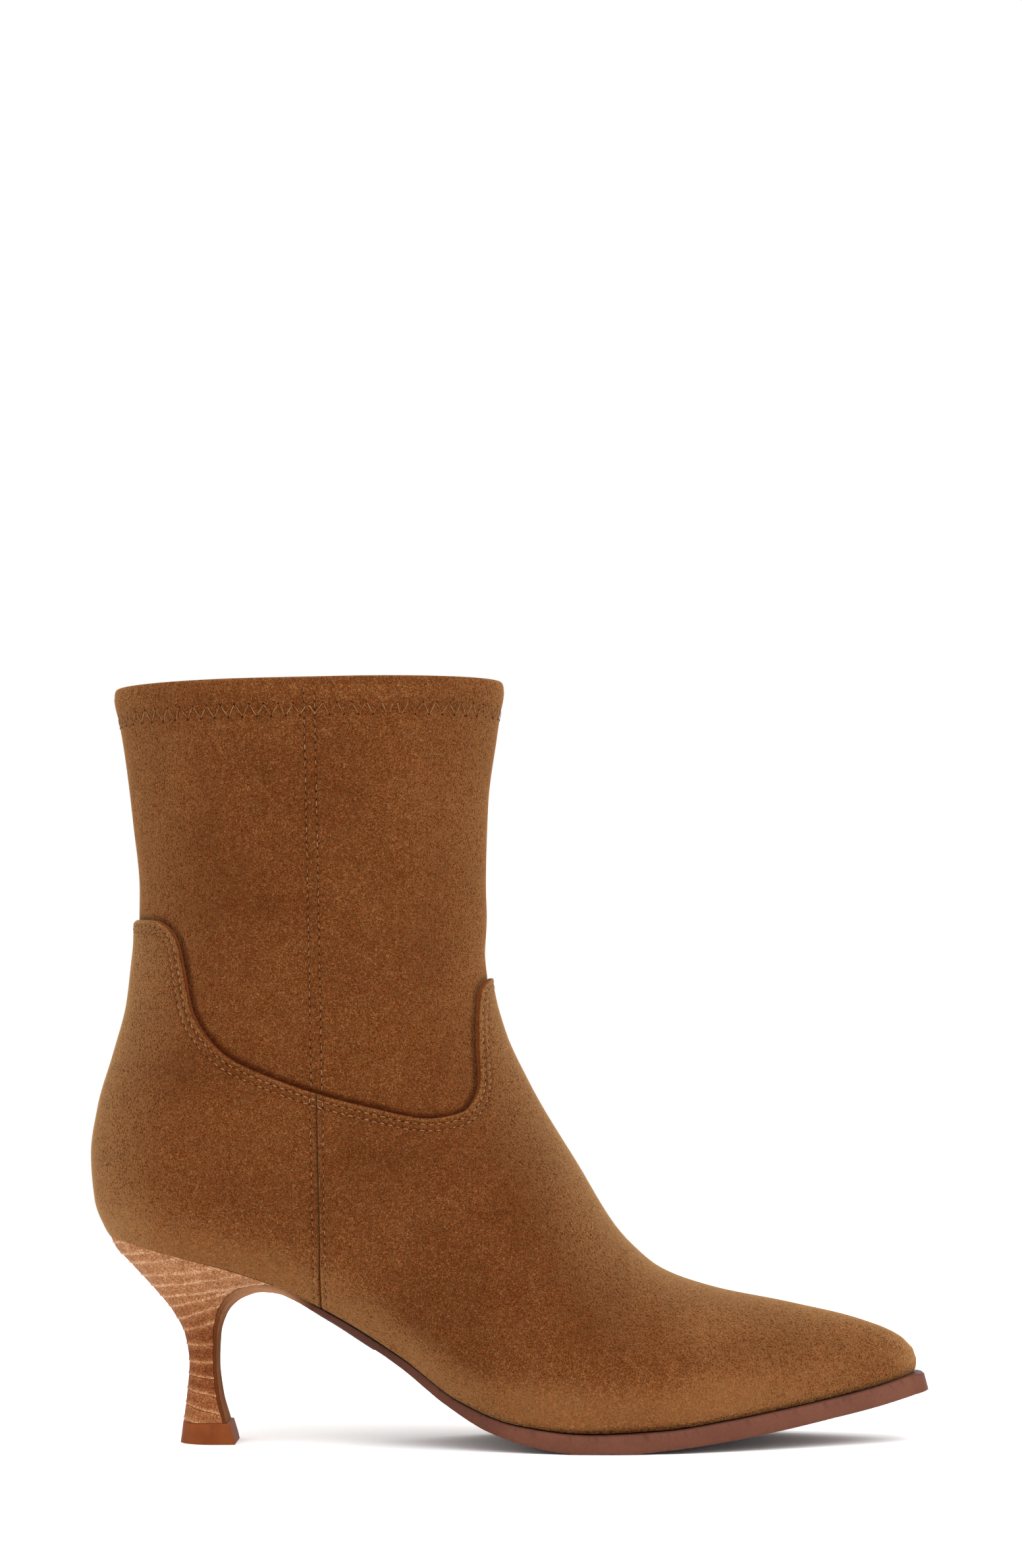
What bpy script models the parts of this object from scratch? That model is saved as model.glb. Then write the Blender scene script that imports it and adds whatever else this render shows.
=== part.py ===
"""Pointed toe bootie, right shoe: a stretch shaft, a vamp and a counter over it, a sole that runs on
down the breast of a stacked kitten heel, and an insole. Millimetres in the tables, metres in Blender.
X runs from the heel to the toe, Y to the inner side of the foot, Z up from the floor."""

import math
from collections import namedtuple

import bmesh
import bpy
import numpy as np

MM = 0.001

# Driving sizes
LENGTH = 252.0
COLLAR_HEIGHT = 228.0
WALL = 1.3
OVERLAY = 1.6
GAP = 0.3
SOLE_GAP = 0.35
HEM_DEPTH = 10.0
HEM_WALL = 2.4
HEM_STEP = 0.8
INSOLE_THICKNESS = 2.5
INSOLE_CLEARANCE = 0.6
TOP_PIECE_HEIGHT = 6.3
BULGE_HEIGHT = 18.0
SHAFT_BLEND = (72.0, 138.0)

# The last from below and behind: what the wall does at each station along the foot
Foot = namedtuple("Foot", "station x feather_z centre feather body")
FOOT = [
    Foot("heel back", 7.2, 62.4, 0.0, 21.0, 25.0),
    Foot("seat", 25.0, 57.5, 0.0, 23.2, 26.4),
    Foot("seat front", 50.0, 50.6, -0.4, 22.3, 27.2),
    Foot("waist", 71.0, 41.4, -1.4, 21.0, 28.0),
    Foot("arch", 95.0, 26.9, -2.8, 21.8, 29.6),
    Foot("arch front", 112.0, 14.6, -3.4, 25.6, 31.6),
    Foot("tread back", 128.0, 8.4, -3.2, 30.4, 33.8),
    Foot("outer ball", 150.0, 6.0, -1.8, 34.8, 36.2),
    Foot("inner ball", 170.0, 6.9, 0.3, 35.2, 36.2),
    Foot("toe root", 190.0, 9.5, 2.4, 31.4, 32.3),
    Foot("toe box", 205.0, 11.9, 3.7, 26.0, 26.9),
    Foot("toe", 220.0, 14.5, 4.8, 19.4, 20.3),
    Foot("toe taper", 235.0, 17.6, 5.7, 12.4, 13.3),
    Foot("toe tip", 246.9, 20.9, 6.3, 6.8, 7.6),
]

# The wall's line up the back, from the seat to the collar, and how deep it rounds
Edge = namedtuple("Edge", "place x z rounding")
BACK = [
    Edge("seat edge", 7.2, 62.4, 25.0),
    Edge("heel", 3.0, 73.0, 27.0),
    Edge("heel bulge", 1.9, 86.7, 28.0),
    Edge("heel top", 3.9, 100.6, 30.0),
    Edge("tendon", 8.5, 116.4, 34.0),
    Edge("ankle", 12.6, 132.3, 38.0),
    Edge("shaft foot", 14.2, 150.0, 42.0),
    Edge("shaft waist", 14.6, 165.0, 44.0),
    Edge("shaft", 12.6, 186.0, 46.0),
    Edge("shaft top", 9.9, 207.5, 48.0),
    Edge("collar", 6.6, COLLAR_HEIGHT - 2.6, 50.0),
]

# The wall's line from the toe over the vamp and the instep to the front of the collar
FRONT = [
    Edge("toe edge", 246.9, 20.9, 7.0),
    Edge("toe nose", 246.1, 26.2, 7.5),
    Edge("toe top", 241.9, 30.4, 10.0),
    Edge("toe box", 232.0, 34.5, 17.0),
    Edge("vamp", 209.6, 40.0, 28.0),
    Edge("vamp back", 185.8, 45.0, 35.0),
    Edge("break", 169.8, 51.0, 40.0),
    Edge("instep foot", 160.2, 59.1, 43.0),
    Edge("instep", 143.9, 83.8, 45.0),
    Edge("instep top", 129.8, 107.6, 45.0),
    Edge("throat", 122.6, 123.4, 45.0),
    Edge("ankle", 119.3, 137.0, 46.0),
    Edge("shin", 118.6, 160.0, 48.0),
    Edge("shaft", 119.4, 192.0, 50.0),
    Edge("flare", 121.9, 211.0, 50.0),
    Edge("collar", 124.4, COLLAR_HEIGHT, 50.0),
]

# Half the width of the shaft
Shaft = namedtuple("Shaft", "z half")
SHAFT = [
    Shaft(70.0, 27.5),
    Shaft(120.0, 27.5),
    Shaft(160.0, 27.8),
    Shaft(200.0, 29.5),
    Shaft(COLLAR_HEIGHT, 31.5),
]

# The scalloped top line of vamp and counter, from the back tab to the front tab, in side view
Scallop = namedtuple("Scallop", "place x z")
SCALLOP_BACK = [
    Scallop("back tab", 14.3, 156.6),
    Scallop("tab shoulder", 22.0, 155.9),
    Scallop("tab corner", 27.6, 151.2),
    Scallop("tab side", 30.3, 141.5),
    Scallop("fall", 32.7, 129.6),
    Scallop("sweep", 41.7, 116.6),
    Scallop("side", 56.0, 109.4),
    Scallop("seam", 69.2, 104.8),
]
SCALLOP_FRONT = [
    Scallop("seam", 69.2, 104.8),
    Scallop("side", 85.0, 100.7),
    Scallop("low", 102.5, 97.3),
    Scallop("corner", 112.3, 99.4),
    Scallop("tab side", 116.2, 107.5),
    Scallop("tab rise", 115.4, 124.0),
    Scallop("tab shoulder", 116.2, 135.6),
    Scallop("front tab", 119.2, 139.2),
]
BREAST_TOP_X = 58.0
HEEL_SEAT_FRONT = 56.5
SEAM_FOOT_X = 70.7
SEAM_COLLAR_X = 67.0

# The sole's underside, from the toe along the floor and the arch and down the heel's breast
Sole = namedtuple("Sole", "place x z thickness centre half belly")
SOLE = [
    Sole("toe tip", 252.0, 15.5, 5.4, 6.6, 5.4, 0.0),
    Sole("toe corner", 250.9, 15.2, 5.5, 6.5, 8.1, 0.0),
    Sole("toe side", 247.5, 14.3, 5.6, 6.3, 10.1, 0.0),
    Sole("toe taper", 236.5, 11.5, 5.6, 5.8, 15.8, 0.0),
    Sole("toe", 221.0, 8.4, 5.6, 4.9, 22.9, 0.0),
    Sole("toe box", 205.5, 5.6, 5.6, 3.8, 29.7, 0.0),
    Sole("toe root", 190.0, 3.2, 5.6, 2.4, 34.9, 0.0),
    Sole("inner ball", 172.0, 1.0, 5.6, 0.5, 38.5, 0.0),
    Sole("tread front", 160.0, 0.0, 5.6, -0.8, 38.8, 0.0),
    Sole("tread", 146.0, 0.0, 5.6, -2.1, 37.3, 0.0),
    Sole("tread back", 134.0, 1.5, 5.5, -3.0, 34.2, 0.0),
    Sole("rise", 120.0, 5.8, 5.0, -3.4, 29.8, 0.0),
    Sole("arch front", 107.0, 13.6, 4.0, -3.3, 26.0, 0.0),
    Sole("arch", 94.0, 24.0, 3.1, -2.7, 23.6, 0.0),
    Sole("pad front", 86.8, 29.0, 2.8, -2.3, 23.0, 0.0),
    Sole("pad", 86.0, 29.5, 2.8, -2.3, 23.0, 1.0),
    Sole("waist", 72.0, 38.3, 2.4, -1.4, 22.4, 1.0),
    Sole("breast top", 61.0, 44.0, 2.2, -0.7, 22.0, 0.4),
    Sole("breast edge", 57.2, 45.2, 2.1, -0.3, 21.6, 0.2),
    Sole("breast arch", 52.5, 45.4, 2.0, 0.0, 20.6, 0.0),
    Sole("breast turn", 46.2, 43.6, 1.7, 0.0, 17.2, 0.0),
    Sole("breast", 40.8, 38.6, 1.3, 0.0, 12.6, 0.0),
    Sole("neck top", 38.7, 32.0, 1.0, 0.0, 9.0, 0.0),
    Sole("neck", 38.4, 24.0, 0.9, 0.0, 7.8, 0.0),
    Sole("flare", 39.4, 14.5, 0.9, 0.0, 8.4, 0.0),
    Sole("breast foot", 41.5, TOP_PIECE_HEIGHT + GAP, 0.9, 0.0, 9.6, 0.0),
]

# The heel's back line and width, a row for each lift line, and where the row meets the breast
Heel = namedtuple("Heel", "place back_x back_z breast half")
HEEL = [
    Heel("seat", 5.6, 62.2, "seat", 25.2),
    Heel("seat foot", 7.4, 58.9, "breast edge", 24.4),
    Heel("upper", 12.2, 53.6, "breast arch", 21.6),
    Heel("cup", 18.6, 46.7, "breast turn", 17.6),
    Heel("cup foot", 24.6, 39.4, "breast", 12.9),
    Heel("neck top", 28.3, 32.0, "neck top", 9.2),
    Heel("neck", 29.5, 23.6, "neck", 8.0),
    Heel("flare", 28.8, 14.4, "flare", 8.6),
    Heel("foot", 27.8, TOP_PIECE_HEIGHT + GAP, "breast foot", 9.8),
]
Tip = namedtuple("Tip", "place z back_x front_x half")
TOP_PIECE = [
    Tip("top", TOP_PIECE_HEIGHT, 27.7, 42.2, 9.9),
    Tip("waist", 2.2, 27.2, 43.4, 10.3),
    Tip("floor", 0.0, 26.9, 43.9, 10.4),
]

# The heel's plan: the share of its depth that is round, and how much the sides close in to the breast
HEEL_ROUND = 0.62
HEEL_TAPER = 0.04

# How finely the curved walls are cut
BACK_SPACES = 9
FRONT_SPACES = 18
END_SHARES = (0.004, 0.016)
BACK_COLUMNS = BACK_SPACES + len(END_SHARES)
FRONT_COLUMNS = FRONT_SPACES + len(END_SHARES)
FOOT_RINGS = 13
SHAFT_RINGS = 6
END_CROWDING = 1.15
RING_CROWDING = 1.4
SEAM_SHARE = 0.4
SOLE_STEP = 6.0
BREAST_STEP = 3.0
HEEL_SIDE_POINTS = 9
HEEL_ROWS_BETWEEN = 2


def tangents(knots, values):
    """Slopes of a smooth curve through the values that never overshoots them."""
    step = np.diff(knots)
    slope = np.diff(values) / step
    middle = np.where(
        slope[:-1] * slope[1:] > 0,
        (step[:-1] + step[1:]) * slope[:-1] * slope[1:]
        / (step[:-1] * slope[:-1] + step[1:] * slope[1:] + 1e-12),
        0.0,
    )
    return np.concatenate([[slope[0]], middle, [slope[-1]]])


def smooth(knots, values, at):
    """The smooth curve through (knots, values), read at one place or many."""
    knots = np.asarray(knots, float)
    values = np.asarray(values, float)
    at = np.clip(np.asarray(at, float), knots[0], knots[-1])
    m = tangents(knots, values)
    i = np.clip(np.searchsorted(knots, at, side="right") - 1, 0, len(knots) - 2)
    h = knots[i + 1] - knots[i]
    t = (at - knots[i]) / h
    rest = 1.0 - t
    return (
        values[i] * (1 + 2 * t) * rest**2
        + values[i + 1] * (3 - 2 * t) * t**2
        + h * m[i] * t * rest**2
        - h * m[i + 1] * t**2 * rest
    )


def column(rows, name):
    return np.array([getattr(row, name) for row in rows], float)


def run_length(x, z):
    """Distance along a line of points from its start."""
    return np.concatenate([[0.0], np.cumsum(np.hypot(np.diff(x), np.diff(z)))])


class Line:
    """A smooth line in side view through a table's x and z, read by its share of length."""

    def __init__(self, rows):
        self.rows = rows
        self.length = run_length(column(rows, "x"), column(rows, "z"))

    def read(self, name, share):
        return smooth(self.length, column(self.rows, name), np.asarray(share) * self.length[-1])

    def point(self, share):
        return np.stack([self.read("x", share), self.read("z", share)], axis=-1)

    def share_at(self, height):
        """The share of length at a height, on a line that only rises."""
        shares = np.linspace(0, 1, 1500)
        heights = np.maximum.accumulate(self.read("z", shares))
        return np.interp(height, heights, shares)

    def part(self, share, low, high):
        """The point at a share of the stretch between two heights."""
        ends = self.share_at([low, high])
        return self.point(ends[0] + (ends[1] - ends[0]) * np.asarray(share))

    def x_at(self, height):
        return self.read("x", self.share_at(height))


BACK_LINE = Line(BACK)
FRONT_LINE = Line(FRONT)


def nearest(line, x, z):
    """Distance to a line, and the depth over which the wall rounds towards it there."""
    shares = np.linspace(0, 1, 2400)
    points = line.point(shares)
    rounding = line.read("rounding", shares)
    away = np.hypot(x[..., None] - points[:, 0], z[..., None] - points[:, 1])
    index = away.argmin(axis=-1)
    return away.min(axis=-1), rounding[index]


def rounded(distance, depth):
    """A quarter ellipse: 0 on the line, 1 from the given depth on."""
    return np.sqrt(1.0 - (1.0 - np.minimum(distance / depth, 1.0)) ** 2)


def blend(value, low, high):
    t = np.clip((value - low) / (high - low), 0.0, 1.0)
    return t * t * (3 - 2 * t)


def foot(name, x):
    return smooth(column(FOOT, "x"), column(FOOT, name), x)


def wall_middle(x, z):
    """Where the last's middle plane lies across the foot."""
    return foot("centre", x) * (1.0 - blend(z, *SHAFT_BLEND))


def wall_half(x, z):
    """Half the width of the wall's outer face at a place in side view."""
    rise = np.clip((z - foot("feather_z", x)) / BULGE_HEIGHT, 0.0, 1.0)
    low = foot("feather", x)
    body = low + (foot("body", x) - low) * np.sin(rise * math.pi / 2)
    shaft = smooth(column(SHAFT, "z"), column(SHAFT, "half"), z)
    up = blend(z, *SHAFT_BLEND)
    width = body * (1 - up) + shaft * up
    return width * rounded(*nearest(BACK_LINE, x, z)) * rounded(*nearest(FRONT_LINE, x, z))


def spaced(count):
    """Shares of the way from an end line to the seam, with a few extra close to the end."""
    return np.concatenate([[0.0], END_SHARES, (np.arange(1, count + 1) / count) ** END_CROWDING])


def shares():
    """Shares from the back line (0) past the side seam to the front line (1), crowded at both ends."""
    back = SEAM_SHARE * spaced(BACK_SPACES)
    front = 1.0 - (1.0 - SEAM_SHARE) * spaced(FRONT_SPACES)
    return np.concatenate([back, front[-2::-1]])


def past_seam(share, start, seam, end):
    """A value that goes from start to seam to end as the share passes the seam."""
    return np.interp(share, [0.0, SEAM_SHARE, 1.0], [start, seam, end])


def feather_edge(share):
    x = past_seam(share, FOOT[0].x, SEAM_FOOT_X, FOOT[-1].x)
    return np.stack([x, foot("feather_z", x)], axis=-1)


def scallop_edge(share):
    back = Line(SCALLOP_BACK).point(np.clip(share / SEAM_SHARE, 0, 1))
    front = Line(SCALLOP_FRONT).point(np.clip((share - SEAM_SHARE) / (1 - SEAM_SHARE), 0, 1))
    return np.where((share < SEAM_SHARE)[:, None], back, front)


def level_edge(share, below):
    """A line around the shaft at a depth below the collar."""
    high = np.array([BACK[-1].z, FRONT[-1].z]) - below
    x = past_seam(share, BACK_LINE.x_at(high[0]), SEAM_COLLAR_X, FRONT_LINE.x_at(high[1]))
    z = high[0] + (high[1] - high[0]) * (x - x[0]) / (x[-1] - x[0])
    return np.stack([x, z], axis=-1)


def fill(c, r, bottom, top, left, right):
    """Side-view points that fill the room between four edges."""
    r = r[:, None, None]
    c = c[None, :, None]
    ruled = (1 - r) * bottom[None] + r * top[None] + (1 - c) * left[:, None] + c * right[:, None]
    corners = (1 - r) * ((1 - c) * bottom[0] + c * bottom[-1]) + r * ((1 - c) * top[0] + c * top[-1])
    return ruled - corners


def patch(share, rings, bottom, top):
    """Rings of side-view points between two edges, from the back line past the seam to the front line."""
    s = BACK_COLUMNS
    back = BACK_LINE.part(rings, bottom[0, 1], top[0, 1])
    front = FRONT_LINE.part(rings, bottom[-1, 1], top[-1, 1])
    seam = bottom[s] + (top[s] - bottom[s]) * rings[:, None]
    before = fill(share[: s + 1] / SEAM_SHARE, rings, bottom[: s + 1], top[: s + 1], back, seam)
    after = fill((share[s:] - SEAM_SHARE) / (1 - SEAM_SHARE), rings, bottom[s:], top[s:], seam, front)
    return np.concatenate([before, after[:, 1:]], axis=1)


def shaft_patch(rings, bottom, top):
    """Rings of side-view points up the shaft, which keep their share of its depth as it leans."""
    def depth_share(edge):
        back = BACK_LINE.x_at(edge[:, 1])
        return (edge[:, 0] - back) / (FRONT_LINE.x_at(edge[:, 1]) - back)

    r = rings[:, None]
    z = bottom[:, 1] + (top[:, 1] - bottom[:, 1]) * r
    share = depth_share(bottom) + (depth_share(top) - depth_share(bottom)) * r
    back = BACK_LINE.x_at(z)
    return np.stack([back + (FRONT_LINE.x_at(z) - back) * share, z], axis=-1)


def around(side):
    """Closed rings in space: the outer side from back to front, then the inner side back again."""
    x = side[..., 0]
    z = side[..., 1]
    half = wall_half(x, z)
    half[:, 0] = 0.0
    half[:, -1] = 0.0
    middle = wall_middle(x, z)
    outer = np.stack([x, middle - half, z], axis=-1)
    inner = np.stack([x, middle + half, z], axis=-1)
    return np.concatenate([outer, inner[:, -2:0:-1]], axis=1)


def normals_of(rings):
    """Outward directions at the points of closed rings, level along the lowest ring."""
    ahead = np.roll(rings, -1, axis=1)
    low = np.cross(ahead[:-1] - rings[:-1], ahead[1:] - rings[:-1])
    high = np.cross(ahead[1:] - rings[:-1], rings[1:] - rings[:-1])
    low /= np.linalg.norm(low, axis=-1, keepdims=True)
    high /= np.linalg.norm(high, axis=-1, keepdims=True)
    out = np.zeros_like(rings)
    out[:-1] += low + high
    out[1:] += np.roll(low, 1, axis=1) + high
    out[:-1] += np.roll(low, 1, axis=1)
    out[1:] += np.roll(high, 1, axis=1)
    out[0, :, 2] = 0.0
    return out / np.linalg.norm(out, axis=-1, keepdims=True)


def upper_rings():
    """The rings of the upper's outer face, from the feather edge to the collar, and each one's wall."""
    share = shares()
    low = (np.arange(FOOT_RINGS + 1) / FOOT_RINGS) ** RING_CROWDING
    high = np.arange(1, SHAFT_RINGS + 1) / SHAFT_RINGS
    scallop = scallop_edge(share)
    under_hem = level_edge(share, HEM_DEPTH + HEM_STEP)
    side = np.concatenate([
        patch(share, low, feather_edge(share), scallop),
        shaft_patch(high, scallop, under_hem),
        level_edge(share, HEM_DEPTH)[None],
        level_edge(share, 0.0)[None],
    ])
    wall = np.full(len(side), WALL)
    wall[-2:] = HEM_WALL
    return around(side), wall


def shift():
    """What moves the tables' frame to the part's: the middle of the sole's length and width."""
    outer = (column(SOLE, "centre") - column(SOLE, "half")).min()
    inner = (column(SOLE, "centre") + column(SOLE, "half")).max()
    return np.array([-LENGTH / 2, -(outer + inner) / 2, 0.0])


def material(name, colour, roughness):
    made = bpy.data.materials.new(name)
    made.use_nodes = True
    shader = made.node_tree.nodes["Principled BSDF"]
    shader.inputs["Base Color"].default_value = (*colour, 1.0)
    shader.inputs["Roughness"].default_value = roughness
    shader.inputs["Metallic"].default_value = 0.0
    return made


def node(name, points, faces, finish):
    """One named object from points in the tables' frame and triangles or polygons."""
    bm = bmesh.new()
    verts = [bm.verts.new((np.asarray(p) + SHIFT) * MM) for p in points]
    for face in faces:
        bm.faces.new([verts[i] for i in face])
    mesh = bpy.data.meshes.new(name)
    bm.to_mesh(mesh)
    bm.free()
    mesh.shade_smooth()
    mesh.set_sharp_from_angle(angle=math.radians(40))
    mesh.materials.append(finish)
    obj = bpy.data.objects.new(name, mesh)
    PARTS.objects.link(obj)
    return obj


def strip(first, second, closed):
    """Triangles between two rows of point numbers."""
    count = len(first)
    faces = []
    for i in range(count if closed else count - 1):
        j = (i + 1) % count
        faces += [(first[i], first[j], second[j]), (first[i], second[j], second[i])]
    return faces


def shell(name, inside, outside, closed, finish):
    """A wall between two sheets of rings, closed along every open edge."""
    rows, count = outside.shape[:2]
    number = np.arange(rows * count).reshape(rows, count)
    deep = number + rows * count
    faces = []
    for k in range(rows - 1):
        faces += strip(number[k], number[k + 1], closed)
        faces += [face[::-1] for face in strip(deep[k], deep[k + 1], closed)]
    faces += strip(deep[0], number[0], closed)
    faces += strip(number[-1], deep[-1], closed)
    if not closed:
        faces += strip(number[:, 0], deep[:, 0], False)
        faces += strip(deep[:, -1], number[:, -1], False)
    points = np.concatenate([outside.reshape(-1, 3), inside.reshape(-1, 3)])
    return node(name, points, faces, finish)


def moved(rings, out, by):
    """Rings moved along their outward directions; the lowest ring stays on the feather line."""
    made = rings + out * by
    edge = feather_edge(shares())
    made[0, :, 2] = np.interp(made[0, :, 0], edge[:, 0], edge[:, 1])
    return made


def make_upper(rings, out, wall):
    inside = moved(rings, out, -wall[:, None, None])
    shell("upper", inside, rings, True, material("shaft suede", (0.23, 0.10, 0.035), 0.9))


def make_overlay(name, rings, out, columns, finish):
    """A panel over the foot part of the upper, between the columns given, open at the seam."""
    low = rings[: FOOT_RINGS + 1][:, columns].copy()
    away = out[: FOOT_RINGS + 1][:, columns]
    for edge, beside in ((0, 1), (-1, -2)):
        step = low[:, beside] - low[:, edge]
        low[:, edge] += step / np.linalg.norm(step, axis=-1, keepdims=True) * GAP / 2
    shell(name, moved(low, away, GAP), moved(low, away, GAP + OVERLAY), False, finish)


def sole_rows():
    """The sole's underside read at even steps, with every table row kept."""
    line = Line(SOLE)
    knots = line.length
    at = knots[-1:]
    for row, start, end in zip(SOLE, knots, knots[1:]):
        step = SOLE_STEP if row.x > BREAST_TOP_X else BREAST_STEP
        count = max(1, round((end - start) / step))
        at = np.concatenate([at, np.linspace(start, end, count, endpoint=False)])
    at = np.sort(at)
    rows = {name: smooth(knots, column(SOLE, name), at) for name in Sole._fields[1:]}
    ahead = np.stack([np.gradient(rows["x"], at), np.gradient(rows["z"], at)], axis=-1)
    ahead /= np.linalg.norm(ahead, axis=-1, keepdims=True)
    ahead[-1] = (0.0, -1.0)
    edge = feather_edge(shares())
    for i, (fx, fz) in enumerate(ahead):
        if rows["x"][i] < BREAST_TOP_X:
            break
        for _ in range(8):
            above = np.interp(rows["x"][i] + fz * rows["thickness"][i], edge[:, 0], edge[:, 1])
            rows["thickness"][i] = (above - SOLE_GAP - rows["z"][i]) / -fx
    return at, rows, ahead


def make_outsole(finish):
    """Slices across the sole's run: a flat top, upright edges and an underside that may swell."""
    _, rows, ahead = sole_rows()
    across_top = (-1.0, -0.5, 0.0, 0.5, 1.0)
    across_under = (0.985, 0.72, 0.36, 0.0, -0.36, -0.72, -0.985)
    swell = (0.0, 0.75, 0.95, 1.0, 0.95, 0.75, 0.0)
    slices = []
    for i, (fx, fz) in enumerate(ahead):
        up = np.array([fz, 0.0, -fx])
        base = np.array([rows["x"][i], rows["centre"][i], rows["z"][i]])
        side = np.array([0.0, rows["half"][i], 0.0])
        top = [base + up * rows["thickness"][i] + side * t for t in across_top]
        under = [base - up * rows["belly"][i] * s + side * t for s, t in zip(swell, across_under)]
        slices.append(top + under)
    loft("outsole", np.array(slices), finish)


def loft(name, slices, finish):
    """A solid through closed slices that run anticlockwise as seen from the first, with flat ends."""
    rows, count = slices.shape[:2]
    number = np.arange(rows * count).reshape(rows, count)
    faces = []
    for k in range(rows - 1):
        faces += strip(number[k], number[k + 1], True)
    faces += [tuple(number[0][::-1]), tuple(number[-1])]
    return node(name, slices.reshape(-1, 3), faces, finish)


def heel_outline(back, front, half):
    """A round back, straight sides and a flat breast: points across one slice of the heel."""
    back = np.array(back)
    front = np.array(front)
    bend = (np.arange(HEEL_SIDE_POINTS) / (HEEL_SIDE_POINTS - 1)) ** 2 * HEEL_ROUND
    share = np.concatenate([bend, [(1 + HEEL_ROUND) / 2, 1.0]])
    narrowing = HEEL_TAPER * np.clip((share - HEEL_ROUND) / (1 - HEEL_ROUND), 0, 1)
    wide = half * rounded(share, HEEL_ROUND) * (1 - narrowing)
    line = back + (front - back) * share[:, None]
    outer = [(x, -w, z) for (x, z), w in zip(line, wide)]
    inner = [(x, w, z) for (x, z), w in zip(line, wide)]
    return outer + inner[:0:-1]


def breast_place(name):
    """The heel's front point at a row: on the sole's inner face, a gap behind it."""
    if name == "seat":
        x = HEEL_SEAT_FRONT
        return np.array([x, float(foot("feather_z", x)) - GAP])
    at, rows, ahead = sole_rows()
    place = [row.place for row in SOLE].index(name)
    i = int(np.abs(at - Line(SOLE).length[place]).argmin())
    up = np.array([ahead[i][1], -ahead[i][0]])
    return np.array([rows["x"][i], rows["z"][i]]) + up * (rows["thickness"][i] + GAP)


def make_heel(finish):
    back = np.array([(row.back_x, row.back_z) for row in HEEL])
    front = np.array([breast_place(row.breast) for row in HEEL])
    knots = np.arange(len(HEEL))
    at = np.linspace(0, len(HEEL) - 1, (len(HEEL) - 1) * HEEL_ROWS_BETWEEN + 1)
    half = smooth(knots, column(HEEL, "half"), at)
    read = [smooth(knots, side[:, k], at) for side in (back, front) for k in (0, 1)]
    slices = [heel_outline((bx, bz), (fx, fz), w) for bx, bz, fx, fz, w in zip(*read, half)]
    loft("heel", np.array(slices)[:, ::-1], finish)


def make_top_piece(finish):
    slices = [heel_outline((row.back_x, row.z), (row.front_x, row.z), row.half) for row in TOP_PIECE]
    loft("top_piece", np.array(slices)[:, ::-1], finish)


def make_insole(rings, out, finish):
    """A sheet inside the wall's lowest ring, resting on the sole and the heel seat."""
    edge = rings[0] - out[0] * (WALL + INSOLE_CLEARANCE)
    count = len(edge) // 2
    slices = []
    for i in range(1, count):
        right = edge[i]
        left = edge[-i]
        across = [right + (left - right) * t for t in (0.0, 0.5, 1.0)]
        up = np.array([0.0, 0.0, INSOLE_THICKNESS])
        slices.append(across + [p + up for p in reversed(across)])
    loft("insole", np.array(slices), finish)


def main():
    rings, wall = upper_rings()
    out = normals_of(rings)
    front_end = BACK_COLUMNS + FRONT_COLUMNS
    count = 2 * front_end
    suede = material("vamp suede", (0.25, 0.11, 0.04), 0.9)
    make_upper(rings, out, wall)
    vamp_columns = np.arange(BACK_COLUMNS, count - BACK_COLUMNS + 1)
    counter_columns = np.arange(count - BACK_COLUMNS, count + BACK_COLUMNS + 1) % count
    make_overlay("vamp", rings, out, vamp_columns, suede)
    make_overlay("counter", rings, out, counter_columns, suede)
    make_outsole(material("sole leather", (0.21, 0.085, 0.05), 0.45))
    make_heel(material("stacked leather", (0.36, 0.18, 0.085), 0.6))
    make_top_piece(material("top piece rubber", (0.28, 0.085, 0.025), 0.4))
    make_insole(rings, out, material("insole", (0.42, 0.27, 0.15), 0.6))


for old in list(bpy.data.objects):
    bpy.data.objects.remove(old, do_unlink=True)
PARTS = bpy.data.collections.new("pointed toe bootie")
bpy.context.scene.collection.children.link(PARTS)
SHIFT = shift()
main()
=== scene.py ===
# %% [markdown]
# A pointed toe bootie in brown suede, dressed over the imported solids. This lesson goes the way a shoemaker
# goes: the last gives the shape, the shaft and the panels follow it, then the sole, the heel and the sewing.
# The frame comes first, because every piece has to sit where the solids are.

# %% Load the frame
import math
from collections import namedtuple

import bpy
import numpy as np
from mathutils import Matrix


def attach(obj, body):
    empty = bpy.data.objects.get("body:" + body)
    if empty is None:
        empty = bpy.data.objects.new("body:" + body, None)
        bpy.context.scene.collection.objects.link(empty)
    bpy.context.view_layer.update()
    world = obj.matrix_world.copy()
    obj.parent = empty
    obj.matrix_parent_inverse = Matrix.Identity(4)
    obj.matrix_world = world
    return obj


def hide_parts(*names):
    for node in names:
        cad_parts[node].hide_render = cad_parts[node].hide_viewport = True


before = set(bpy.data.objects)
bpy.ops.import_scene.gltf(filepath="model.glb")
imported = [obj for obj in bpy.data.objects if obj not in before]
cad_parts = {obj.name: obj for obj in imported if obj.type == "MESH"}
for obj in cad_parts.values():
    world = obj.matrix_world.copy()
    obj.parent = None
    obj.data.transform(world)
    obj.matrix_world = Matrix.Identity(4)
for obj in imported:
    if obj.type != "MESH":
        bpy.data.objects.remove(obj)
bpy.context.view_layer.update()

# %% [markdown]
# The photograph was taken level, from the outer side, with the boot low in a tall frame. A long lens about
# a metre away keeps the sides nearly parallel. The camera stays level and the frame is moved with the lens
# shift, as a view camera does, so that upright lines stay upright.

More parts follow.
